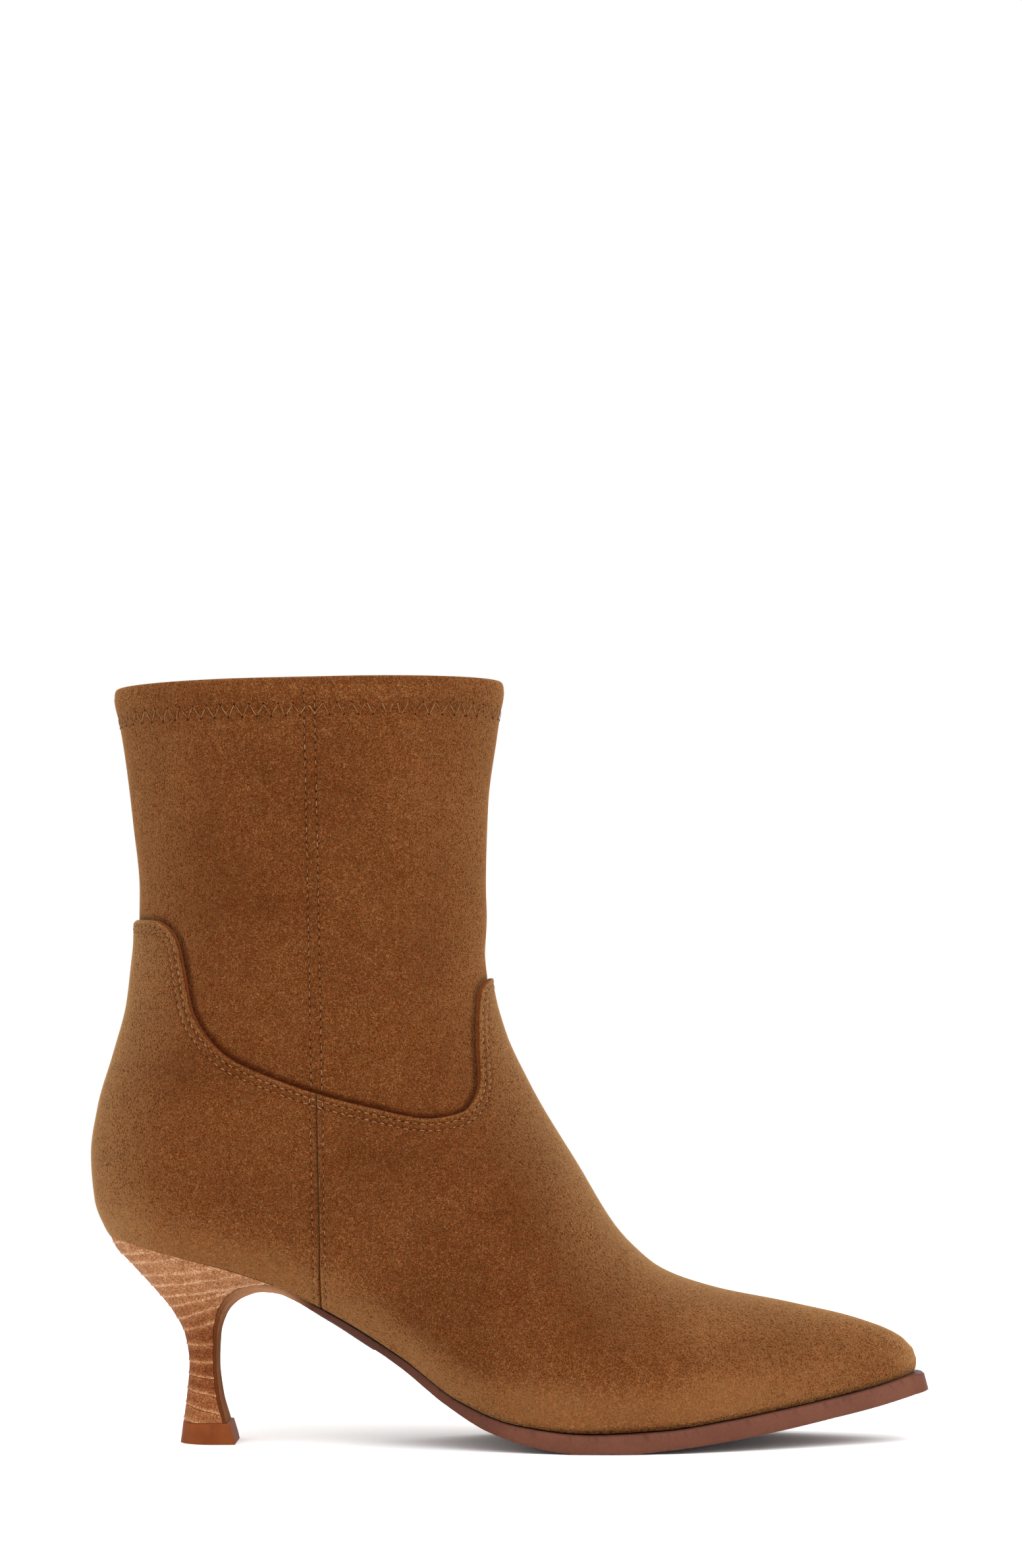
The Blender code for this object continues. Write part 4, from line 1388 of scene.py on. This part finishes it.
for side_sign in (OUTER, INNER):
    for offset in (-SEAM_ROW, SEAM_ROW):
        sewing.row(*shaft_row(offset, side_sign), SEAM_SUNK)
upper_line, upper_out = zigzag_line(ZIGZAG_DEPTH - ZIGZAG_HALF)
lower_line, lower_out = zigzag_line(ZIGZAG_DEPTH + ZIGZAG_HALF)
upper_length, lower_length = run_length(upper_line)[-1], run_length(lower_line)[-1]
legs = round(upper_length / ZIGZAG_PITCH)
share = np.arange(legs) / legs
high_at, _, high_out = along(upper_line, upper_out, share * upper_length)
low_at, _, low_out = along(lower_line, lower_out, (share + 0.5 / legs) * lower_length)
sewing.leg(high_at, low_at, high_out)
sewing.leg(low_at, np.roll(high_at, -1, axis=0), low_out)
print(sum(len(t) for t in sewing.threads), "stitches,", legs, "points of the zigzag")

# %% [markdown]
# The thread is dyed to the suede but a little paler, and where it sinks into the nap it is painted darker, as
# painted shade. A needle hole is a dark dot of painted shade. Both are small, so a slow noise along the rows
# matters more than any grain.

# %% Thread and needle holes
THREAD_DRIFT_MM = 1.6
THREAD_TWIST_MM = 0.12
HOLE_MM = 0.4


def thread_finish():
    made, tree, shader = finish("sewing thread", 0.85, 0.05)
    at = own_place(tree)
    tone = weighed(tree, [(noise(tree, at, THREAD_DRIFT_MM, 2.0, 0.0), 0.8)], 0.75)
    # Painted shade: a sunk stitch is darker.
    tone = shifted(tree, tone, [(kept(tree, "sunk"), -0.45)])
    tones = [(0.15, srgb(64, 32, 12)), (0.5, srgb(112, 72, 42)), (0.95, srgb(160, 122, 88))]
    paint(tree, shader, ramp(tree, tone, tones))
    relief(tree, shader, noise(tree, at, THREAD_TWIST_MM, 1.0, 0.0), 0.4, 0.05)
    return made


def needle_hole_shade_finish():
    made, tree, shader = finish("needle hole", 1.0, 0.0)
    tone = noise(tree, own_place(tree), HOLE_MM, 1.0, 0.0)
    # The dark dot is painted shade for the hole.
    paint(tree, shader, ramp(tree, tone, [(0.3, srgb(26, 12, 5)), (0.7, srgb(52, 27, 12))]))
    return made


stitches = sewing.joined("stitches", sewing.threads, stitch_faces)
note(stitches, "sunk", np.repeat(np.concatenate(sewing.sunk), len(stitch_co)))
stitches.data.materials.append(thread_finish())
settle(stitches, "panel_suede")
needle_holes = sewing.joined("needle_holes", sewing.holes, hole_faces)
needle_holes.data.materials.append(needle_hole_shade_finish())
settle(needle_holes, "panel_suede")

# %% [markdown]
# The sole is one thin piece of smooth brown leather. It is thick and square under the forepart, thins through
# the waist and runs on down the breast of the heel as a flap. Its stations follow the underside from the toe's tip
# to the foot of the heel.

# %% Sizes of the sole
Sole = namedtuple("Sole", "place x z thickness centre half belly crown")
TOP_PIECE_HEIGHT = 6.3
TOP_JOINT = 0.1
SOLE = [
    Sole("toe tip", 252.0, 15.5, 5.4, 6.6, 5.4, 0.0, 0.0),
    Sole("toe corner", 250.9, 15.2, 5.5, 6.5, 8.1, 0.0, 0.0),
    Sole("toe side", 247.5, 14.3, 5.6, 6.3, 10.1, 0.0, 0.0),
    Sole("toe taper", 236.5, 11.5, 5.6, 5.8, 15.8, 0.0, 0.0),
    Sole("toe", 221.0, 8.4, 5.6, 4.9, 22.9, 0.0, 0.0),
    Sole("toe box", 205.5, 5.6, 5.6, 3.8, 29.7, 0.0, 0.0),
    Sole("toe root", 190.0, 3.2, 5.6, 2.4, 34.9, 0.0, 0.0),
    Sole("inner ball", 172.0, 1.0, 5.6, 0.5, 38.5, 0.0, 0.0),
    Sole("tread front", 160.0, 0.0, 5.6, -0.8, 38.8, 0.0, 0.0),
    Sole("tread", 146.0, 0.0, 5.6, -2.1, 37.3, 0.0, 0.0),
    Sole("tread back", 134.0, 1.5, 5.5, -3.0, 34.2, 0.0, 0.0),
    Sole("rise", 120.0, 5.8, 5.0, -3.4, 29.8, 0.0, 0.0),
    Sole("arch front", 107.0, 13.6, 4.0, -3.3, 26.0, 0.0, 0.0),
    Sole("arch", 94.0, 24.0, 3.1, -2.7, 23.6, 0.0, 0.0),
    Sole("pad front", 86.8, 29.0, 2.8, -2.3, 23.0, 0.0, 0.0),
    Sole("pad", 86.0, 29.5, 2.8, -2.3, 23.0, 1.0, 0.0),
    Sole("waist", 72.0, 38.3, 2.4, -1.4, 22.4, 1.0, 0.0),
    Sole("breast top", 61.0, 44.0, 2.2, -0.7, 22.0, 0.4, 0.6),
    Sole("breast edge", 57.2, 45.2, 1.7, -0.3, 21.6, 0.2, 1.0),
    Sole("breast arch", 52.5, 45.4, 1.6, 0.0, 20.6, 0.0, 1.5),
    Sole("breast turn", 46.2, 43.6, 1.5, 0.0, 17.2, 0.0, 1.9),
    Sole("breast", 40.8, 38.6, 1.3, 0.0, 12.6, 0.0, 1.0),
    Sole("neck top", 38.7, 32.0, 1.1, 0.0, 9.0, 0.0, 0.3),
    Sole("neck", 38.4, 24.0, 1.0, 0.0, 7.8, 0.0, 0.2),
    Sole("flare", 39.4, 14.5, 1.0, 0.0, 8.4, 0.0, 0.2),
    Sole("breast foot", 41.5, TOP_PIECE_HEIGHT + TOP_JOINT, 1.0, 0.0, 9.6, 0.0, 0.2),
]
print("the sole has", len(SOLE), "stations")

# %% [markdown]
# The sole is drawn as slices along its own run, each a flat bar with eased corners, and the slices are skinned over a
# ball. Under the foot the thickness is worked out, so that the top always ends a gap below the feather edge.

# %% Sole
BREAST_TOP_X = 58.0
SOLE_STEP = 1.2
THICKNESS_TRIES = 8
FULL_EASE = 4.0
TOP_SHARES = (0.0, 0.35, 0.65)
TOP_EDGE = [(-1.6, 0.0), (-0.55, -0.03), (-0.16, -0.22), (0.0, -0.7)]
SIDE_SWELL = 0.05
LOW_EDGE = [(-0.02, 1.2), (-0.14, 0.5), (-0.5, 0.12), (-1.1, 0.0)]
BELLY_SHARES = [(0.86, 0.45), (0.66, 0.8), (0.36, 0.95), (0.0, 1.0)]


def sole_rows(step):
    """The sole's underside at even steps: where the knots lie, its numbers, and the way it runs."""
    knots = run_length(np.stack([column(SOLE, "x"), column(SOLE, "z")], axis=-1))
    at = [knots[-1:]]
    for start, end in zip(knots, knots[1:]):
        at.append(np.linspace(start, end, max(2, round((end - start) / step)), endpoint=False))
    at = np.sort(np.concatenate(at))
    rows = {name: smooth(knots, column(SOLE, name), at) for name in Sole._fields[1:]}
    ahead = unit(np.stack([np.gradient(rows["x"], at), np.gradient(rows["z"], at)], axis=-1))
    ahead[-1] = (0.0, -1.0)
    for i, (fx, fz) in enumerate(ahead):
        if rows["x"][i] < BREAST_TOP_X:
            break
        for _ in range(THICKNESS_TRIES):
            above = float(foot("feather_z", rows["x"][i] + fz * rows["thickness"][i]))
            rows["thickness"][i] = (above - SOLE_GAP - rows["z"][i]) / -fx
    return knots, at, rows, ahead


def sole_slice(half, thick, belly, crown):
    """Half a slice, from the top's middle round the edge to the underside's middle: across and up."""
    ease = min(1.0, thick / FULL_EASE)
    line = [(half * t, thick) for t in TOP_SHARES]
    line += [(half + out * ease, thick + up * ease) for out, up in TOP_EDGE]
    line += [(half + SIDE_SWELL * ease, thick / 2)]
    line += [(half + out * ease, up * ease) for out, up in LOW_EDGE]
    line += [(half * t, -(belly + crown) * s) for t, s in BELLY_SHARES]
    return np.array(line) + (0.0, crown)


_, at, rows, ahead = sole_rows(SOLE_STEP)
slices = []
for i, (fx, fz) in enumerate(ahead):
    half_slice = sole_slice(*(rows[name][i] for name in ("half", "thickness", "belly", "crown")))
    full = np.concatenate([half_slice, half_slice[-2:0:-1] * (-1, 1)])
    base = np.array([rows["x"][i], rows["centre"][i], rows["z"][i]])
    up_way = np.array([fz, 0.0, -fx])
    slices.append(base + full[:, :1] * np.array([0.0, 1.0, 0.0]) + full[:, 1:] * up_way)
slices = np.array(slices)
outsole, row, col = bar("outsole", slices)
print("the sole runs", round(at[-1]), "mm in", len(slices), "slices")

# %% [markdown]
# The sole's edge is stained reddish brown and polished, a shade darker in the waist. Around the slice its top is
# darkened as painted shade under the upper, and its lower edge is paler as a painted highlight. The flap on the
# breast is the bare grain side: it catches the light on its crown, as a painted highlight, and its cut sides are
# dark down the neck. Where each tone belongs is kept as numbers at the points, by the distance along the run and
# by the place around the slice, which is counted from the middle of the top.

# %% Finish of the sole
FLAP_FROM = 197.0
WAIST_RUN = (118.0, 165.0)
BREAST_RUN = (196.0, 208.0)
NECK_RUN = (214.0, 228.0)
CROWN_AT = 211.0
CROWN_SPREAD = 14.0
SOLE_GRAIN_MM = 0.8
SOLE_CLOUD_MM = 14.0

count = slices.shape[1]
under = count // 2
around = np.minimum(np.arange(count), count - np.arange(count))
# Painted shade on the top and its edge, a painted highlight along the lower edge.
edge = np.interp(around, [0, 4, 5, 6, 9, 10, 11, under], [0.1, 0.0, 0.2, 0.9, 1.0, 1.3, 1.0, 0.6])
crown_light = np.interp(around, [0, 11, 12, under], [0.35, 0.35, 0.5, 0.6])
flap_side = np.interp(around, [0, 3, 4, 10, 11, under], [0, 0, 1, 1, 0, -0.25])
note(outsole, "edge", edge[col])
note(outsole, "waist", blend(at, *WAIST_RUN)[row])
note(outsole, "breast", blend(at, *BREAST_RUN)[row])
note(outsole, "crown_light", bell(at - CROWN_AT, CROWN_SPREAD)[row] * crown_light[col])
note(outsole, "flap_side", blend(at, *NECK_RUN)[row] * flap_side[col])


def sole_finish(name, roughness, specular):
    """Stained edge with a fine grain, going over into the lighter leather of the flap."""
    made, tree, shader = finish(name, roughness, specular)
    at_place = own_place(tree)
    grain = noise(tree, at_place, SOLE_GRAIN_MM, 3.0, 0.3)
    cloud = noise(tree, at_place, SOLE_CLOUD_MM, 3.0, 0.4)
    tone = weighed(tree, [(grain, 0.18), (cloud, 0.3)], 0.3)
    # The kept edge number paints the shade on top and the highlight on the lower edge.
    tone = shifted(tree, tone, [(kept(tree, "edge"), 0.3), (kept(tree, "waist"), -0.22)])
    stain = [(0.1, srgb(40, 19, 12)), (0.55, srgb(87, 49, 35)), (0.95, srgb(116, 73, 55))]
    flap_tone = weighed(tree, [(grain, 0.2), (cloud, 0.2)], 0.58)
    flap_tone = shifted(tree, flap_tone, [(kept(tree, "crown_light"), 0.55), (kept(tree, "flap_side"), -0.17)])
    flap = [(0.2, srgb(66, 30, 12)), (0.45, srgb(88, 45, 22)), (0.9, srgb(168, 123, 90))]
    paint(tree, shader, mixed(tree, kept(tree, "breast"), ramp(tree, tone, stain), ramp(tree, flap_tone, flap)))
    relief(tree, shader, sums(tree, grain, cloud), 0.12, 0.2)
    return made


outsole.data.materials.append(sole_finish("sole leather", 0.55, 0.12))
outsole.data.materials.append(sole_finish("flap leather", 0.8, 0.0))
for face in outsole.data.polygons:
    face.material_index = int(at[row[list(face.vertices)]].min() > FLAP_FROM)
settle(outsole, "sole_leather", "outsole")

# %% [markdown]
# The heel is a block of stacked leather, trimmed to a curve that is wide at the seat, slim in the neck and a
# little flared at the foot. Each slice has a round back, straight sides and a flat breast. It is drawn from its
# back line and from the sole's flap, which it meets, so the two can't drift apart.

# %% Heel
Heel = namedtuple("Heel", "place back_x back_z breast half")
HEEL = [
    Heel("seat", 5.8, 62.4, "seat", 24.9),
    Heel("seat foot", 7.4, 58.9, "breast edge", 23.9),
    Heel("upper", 12.2, 53.6, "breast arch", 21.6),
    Heel("cup", 18.6, 46.7, "breast turn", 17.6),
    Heel("cup foot", 24.6, 39.4, "breast", 12.9),
    Heel("neck top", 28.3, 32.0, "neck top", 9.2),
    Heel("neck", 29.5, 23.6, "neck", 8.0),
    Heel("flare", 28.8, 14.4, "flare", 8.6),
    Heel("foot", 27.8, TOP_PIECE_HEIGHT + TOP_JOINT, "breast foot", 9.8),
]
HEEL_SEAT_FRONT = 56.5
SEAT_JOINT = 0.15
BREAST_JOINT = 0.03
HEEL_ROUND = 0.62
HEEL_TAPER = 0.02
CORNER_EASE = 0.2
CORNER_SHARE = 0.02
HEEL_SIDE = 26
HEEL_STRAIGHT = np.array([
    0.07, 0.14, 0.21, 0.28, 0.35, 0.42, 0.49, 0.56,
    0.63, 0.7, 0.77, 0.84, 0.9, 0.95, 0.98, 1.0,
])
HEEL_ROWS = 300
BREAST_STEP = 0.5


def breast_place(name, sole):
    """The heel's front at a row: on the sole's inner face, a gap behind it."""
    knots, at, rows, ahead = sole
    if name == "seat":
        return np.array([HEEL_SEAT_FRONT, float(foot("feather_z", HEEL_SEAT_FRONT)) - SEAT_JOINT])
    i = int(np.abs(at - knots[[row.place for row in SOLE].index(name)]).argmin())
    up_way = np.array([ahead[i][1], -ahead[i][0]])
    behind = rows["thickness"][i] + rows["crown"][i] + BREAST_JOINT
    return np.array([rows["x"][i], rows["z"][i]]) + up_way * behind


def heel_outline(back, front, half, straight):
    """A round back, straight sides and a flat breast across one slice."""
    bend = (np.arange(HEEL_SIDE) / (HEEL_SIDE - 1)) ** 2
    share = np.concatenate([bend * HEEL_ROUND, HEEL_ROUND + (1 - HEEL_ROUND) * straight])
    narrowing = HEEL_TAPER * np.clip((share - HEEL_ROUND) / (1 - HEEL_ROUND), 0, 1)
    wide = half * np.sqrt(1 - (1 - np.minimum(share / HEEL_ROUND, 1)) ** 2) * (1 - narrowing)
    wide[-1] -= min(CORNER_EASE, half * CORNER_SHARE)
    line = np.array(back) + (np.array(front) - np.array(back)) * share[:, None]
    outer = np.stack([line[:, 0], -wide, line[:, 1]], axis=-1)
    inner = np.stack([line[:, 0], wide, line[:, 1]], axis=-1)
    return np.concatenate([outer, inner[:0:-1]])


sole = sole_rows(BREAST_STEP)
back = np.array([(row.back_x, row.back_z) for row in HEEL])
front = np.array([breast_place(row.breast, sole) for row in HEEL])
knots = np.arange(len(HEEL))
t = np.linspace(0, len(HEEL) - 1, HEEL_ROWS)
half = smooth(knots, column(HEEL, "half"), t)
ends = [np.stack([smooth(knots, line[:, k], t) for k in (0, 1)], axis=-1) for line in (back, front)]
slices = np.array([heel_outline(a, b, wide, HEEL_STRAIGHT) for a, b, wide in zip(*ends, half)])
seat_z = foot("feather_z", slices[0, :, 0]) - SEAT_JOINT
slices[..., 2] += (seat_z - slices[0, :, 2])[None, :] * (1 - blend(t, 0.0, 1.0))[:, None]
print("the heel is", round(float(np.ptp(slices[..., 2])), 1), "mm high")

# %% [markdown]
# The lifts are glued one on another, so each joint shows as a line. The lines fan out: level in the neck,
# rising to the toe in the flare and falling to it near the floor. They are listed by both ends, with a little sag
# and waver, and each one lifts the surface into a low ridge with a dip below it.

# %% Lifts of the heel
Lift = namedtuple("Lift", "back_x back_z front_x front_z")
LIFTS = [
    Lift(6.5, 60.0, 14.0, 61.2),
    Lift(9.8, 56.7, 20.8, 58.1),
    Lift(12.6, 54.1, 28.3, 56.0),
    Lift(15.9, 50.3, 37.6, 52.9),
    Lift(18.9, 47.1, 44.2, 50.8),
    Lift(22.2, 44.1, 52.1, 48.5),
    Lift(24.3, 41.0, 46.0, 46.6),
    Lift(26.4, 37.3, 40.0, 41.7),
    Lift(28.4, 33.9, 37.8, 36.4),
    Lift(29.2, 29.6, 37.6, 29.8),
    Lift(29.6, 24.6, 37.6, 24.2),
    Lift(29.7, 20.7, 38.3, 19.5),
    Lift(29.5, 16.3, 39.0, 14.2),
    Lift(28.5, 12.1, 40.4, 8.8),
    Lift(27.8, 7.6, 36.0, 5.0),
]
LIFT_SAG = 0.05
BACK_WAVER, BACK_RATE = 0.06, 0.7
SIDE_WAVER, SIDE_RATE = 0.05, 1.1
LINE_UP = 0.1
END_ROWS = 3
LIFT_RELIEF = [
    Mark("ridge", "lift", LINE_UP, 0.2, 0.32),
    Mark("dip", "lift", -0.45, -0.1, 0.3),
]

above = []
for lift in LIFTS:
    run = lift.front_x - lift.back_x
    rise = (lift.front_z - lift.back_z) / run
    past = slices[..., 0] - lift.back_x
    sag = LIFT_SAG * past * (run - past) / run
    waver = BACK_WAVER * np.sin(past * BACK_RATE + lift.back_z * 2.0)
    waver += SIDE_WAVER * np.sin(slices[..., 1] * SIDE_RATE + lift.back_z)
    above.append((slices[..., 2] - lift.back_z - rise * past + sag + waver) / math.hypot(1.0, rise))
above = np.array(above)
ridge = marks(LIFT_RELIEF, lift=above).sum(axis=0)
breast_corner = HEEL_SIDE + len(HEEL_STRAIGHT)
ridge[:, breast_corner - 1:breast_corner + 1] = 0.0
from_ends = np.minimum(np.arange(HEEL_ROWS), np.arange(HEEL_ROWS)[::-1])
ridge = ridge * blend(from_ends, 0, END_ROWS)[:, None]
around_way = np.roll(slices, -1, axis=1) - np.roll(slices, 1, axis=1)
out = unit(np.cross(around_way, np.gradient(slices, axis=0)))
if (out[:, 0, 0] > 0).mean() > 0.5:
    out = -out
heel, row, col = bar("heel", slices + out * ridge[..., None])
print(len(LIFTS), "lines of lifts, up to", round(float(ridge.max()), 2), "mm high")

# %% [markdown]
# The cut edge of a lift is a felt of short fibres. Each glue line's ridge is painted pale, unevenly, as a painted
# highlight; between two lines the leather is painted darker in the slim neck, as painted shade; and low down the
# joints are open and show as thin dark lines. The same distances that made the ridges say where these tones go.

# %% Finish of the heel
BROAD_ABOVE = 33.0
LINE_BROAD = 0.42
LINE_FINE = 0.34
LINE_NEAR = 1.3
OPEN_BELOW = 22.0
OPEN_DOWN = 0.3
OPEN_WIDE = 0.17
NECK_ROWS = (2.6, 5.4)
FLARE_ROWS = (6.3, 8.0)
FLARE_LOSS = 0.45
STRAND_MM = 0.6
LIFT_FLECK_MM = 0.4
LIFT_CLOUD_MM = 4.0
HIGHLIGHT_BREAK_MM = 2.2

lift_z = column(LIFTS, "back_z")[:, None, None]
# Painted highlight along each ridge, painted shade between the lines in the neck, and dark open joints low down.
lift_highlight = bell(above - LINE_UP, np.where(lift_z > BROAD_ABOVE, LINE_BROAD, LINE_FINE)).sum(axis=0)
lift_near = bell(above, LINE_NEAR).sum(axis=0)
lift_gap = (bell(above + OPEN_DOWN, OPEN_WIDE) * (lift_z < OPEN_BELOW)).sum(axis=0)
note(heel, "lift_highlight", np.clip(lift_highlight, 0, 1)[row, col])
note(heel, "lift_painted_shade", (1 - np.clip(lift_near, 0, 1))[row, col])
note(heel, "lift_gap", np.clip(lift_gap, 0, 1)[row, col])
note(heel, "neck", (blend(t, *NECK_ROWS) * (1 - FLARE_LOSS * blend(t, *FLARE_ROWS)))[row])


def lift_finish():
    """Raw leather edges: a felt of short fibres, a painted highlight along each glue line and painted shade between
    in the neck.
    """
    made, tree, shader = finish("stacked leather", 0.85, 0.12)
    at_place = own_place(tree)
    strand = strands(tree, at_place, STRAND_MM, 0.14, 0.8)
    fleck = noise(tree, at_place, LIFT_FLECK_MM, 2.0, 0.8)
    cloud = noise(tree, at_place, LIFT_CLOUD_MM, 2.0, 0.5)
    highlight_breaks = mapped(tree, noise(tree, at_place, HIGHLIGHT_BREAK_MM, 2.0, 0.6), 0.3, 0.7, 0.35, 0.75)
    # The painted highlight, broken up by noise, and the painted shade between the lines in the neck.
    line = sums(tree, kept(tree, "lift_highlight"), highlight_breaks, "MULTIPLY")
    dark = sums(tree, kept(tree, "lift_painted_shade"), kept(tree, "neck"), "MULTIPLY")
    tone = weighed(tree, [(strand, 0.32), (fleck, 0.7), (cloud, 0.3)], 0.57)
    tone = shifted(tree, tone, [(line, 0.38), (dark, -0.24)])
    tone = shifted(tree, tone, [(kept(tree, "neck"), -0.12), (kept(tree, "lift_gap"), -0.3)])
    deep_tones = [(0.05, srgb(84, 38, 12)), (0.35, srgb(118, 64, 32))]
    pale_tones = [(0.65, srgb(152, 104, 66)), (0.95, srgb(204, 164, 130))]
    paint(tree, shader, ramp(tree, tone, deep_tones + pale_tones))
    relief(tree, shader, sums(tree, strand, fleck), 0.45, 0.2)
    return made


heel.data.materials.append(lift_finish())
settle(heel, "stacked_leather", "heel")

# %% [markdown]
# The top piece is the part that wears: a plug of amber rubber, a little wider at the floor, with soft corners.
# A circle is drawn to the heel's plan and extruded twice, the last ring is spread for the flare, and the edges are
# bevelled, as one would do it by hand.

# %% Top piece
Tip = namedtuple("Tip", "place z back_x front_x half")
TOP_PIECE = [
    Tip("floor", 0.0, 26.9, 43.9, 10.4),
    Tip("waist", 2.2, 27.2, 43.4, 10.3),
    Tip("top", TOP_PIECE_HEIGHT, 27.7, 42.2, 9.9),
]
TIP_STRAIGHT = np.array([0.3, 0.6, 0.85, 0.97, 1.0])
TIP_BEVEL = 0.7
TIP_CORNER = math.radians(35)
TIP_SMOOTH = math.radians(60)
TIP_CLOUD_MM = 6.0
SCUFF_MM = 0.5

outlines = np.array([
    heel_outline((tip.back_x, tip.z), (tip.front_x, tip.z), tip.half, TIP_STRAIGHT)
    for tip in TOP_PIECE
])

bpy.ops.object.select_all(action="DESELECT")
bpy.ops.mesh.primitive_circle_add(vertices=outlines.shape[1], radius=1.0, fill_type="NGON")
top_piece = fresh("top_piece")
bpy.ops.object.mode_set(mode="EDIT")
bpy.ops.mesh.select_all(action="SELECT")
for _ in TOP_PIECE[1:]:
    bpy.ops.mesh.extrude_region_move(TRANSFORM_OT_translate={"value": (0, 0, 1)})
bpy.ops.object.mode_set(mode="OBJECT")
co = points_of(top_piece)
level_of = np.rint(co[:, 2]).astype(int)
turn = np.arctan2(co[:, 1], co[:, 0])
ranks = np.empty(len(co), int)
for k in range(len(TOP_PIECE)):
    here = np.where(level_of == k)[0]
    ranks[here[np.argsort(turn[here])]] = np.arange(len(here))
place(top_piece, outlines[level_of, ranks])
bevel = top_piece.modifiers.new("soft corners", "BEVEL")
bevel.width = TIP_BEVEL * MM
bevel.segments = 3
bevel.limit_method = "ANGLE"
bevel.angle_limit = TIP_CORNER
bpy.ops.object.modifier_apply(modifier="soft corners")
bpy.ops.object.shade_smooth_by_angle(angle=TIP_SMOOTH)


def rubber_finish():
    made, tree, shader = finish("top piece rubber", 0.6, 0.05)
    at_place = own_place(tree)
    cloud = noise(tree, at_place, TIP_CLOUD_MM, 3.0, 0.4)
    scuff = noise(tree, at_place, SCUFF_MM, 3.0, 0.2)
    tone = weighed(tree, [(cloud, 0.5), (scuff, 0.2)], 0.5)
    paint(tree, shader, ramp(tree, tone, [(0.25, srgb(92, 43, 18)), (0.75, srgb(128, 69, 34))]))
    relief(tree, shader, scuff, 0.15, 0.1)
    shader.inputs["Subsurface Weight"].default_value = 0.15
    shader.inputs["Subsurface Radius"].default_value = (0.004, 0.0015, 0.0006)
    shader.inputs["Subsurface Scale"].default_value = 0.6
    return made


top_piece.data.materials.append(rubber_finish())
settle(top_piece, "top_piece_rubber", "top_piece")

# %% [markdown]
# Inside lies a sock of tan leather on a thin board, cut to the last's own outline and a little dished where the
# heel and the ball press. It is a grid laid between the two walls, thickened, with a soft edge.

# %% Insole
INSOLE_THICKNESS = 2.5
INSOLE_CLEARANCE = 0.2
INSOLE_ROWS = 90
INSOLE_ACROSS = 17
INSOLE_LIFT = 0.02
DISH = 0.5
SOFT_EDGE = 0.5
SOFT_SHARE = 0.03

line = evenly(feather(FOOT[0].x, FOOT[-1].x, FEATHER_POINTS), INSOLE_ROWS)[1:-1]
t = turning(INSOLE_ACROSS)[None, :, None]


def across_foot(height):
    """A sheet from wall to wall at a height above the feather edge."""
    edges = []
    for side_sign in (OUTER, INNER):
        points, out = wall(line[:, 0], line[:, 1] + height, side_sign)
        out[:, 2] = 0.0
        edges.append(points - unit(out) * (WALL + INSOLE_CLEARANCE))
    return edges[0][:, None] * (1 - t) + edges[1][:, None] * t


drop = DISH * np.clip(1 - (2 * t - 1) ** 2, 0, 1) + SOFT_EDGE * bell(np.minimum(t, 1 - t), SOFT_SHARE)
top_face = across_foot(INSOLE_THICKNESS) - drop * np.array([0.0, 0.0, 1.0])
insole = panel("insole", top_face, across_foot(INSOLE_LIFT))[0]
insole.data.materials.append(lining_leather)
settle(insole, "insole_leather", "insole")
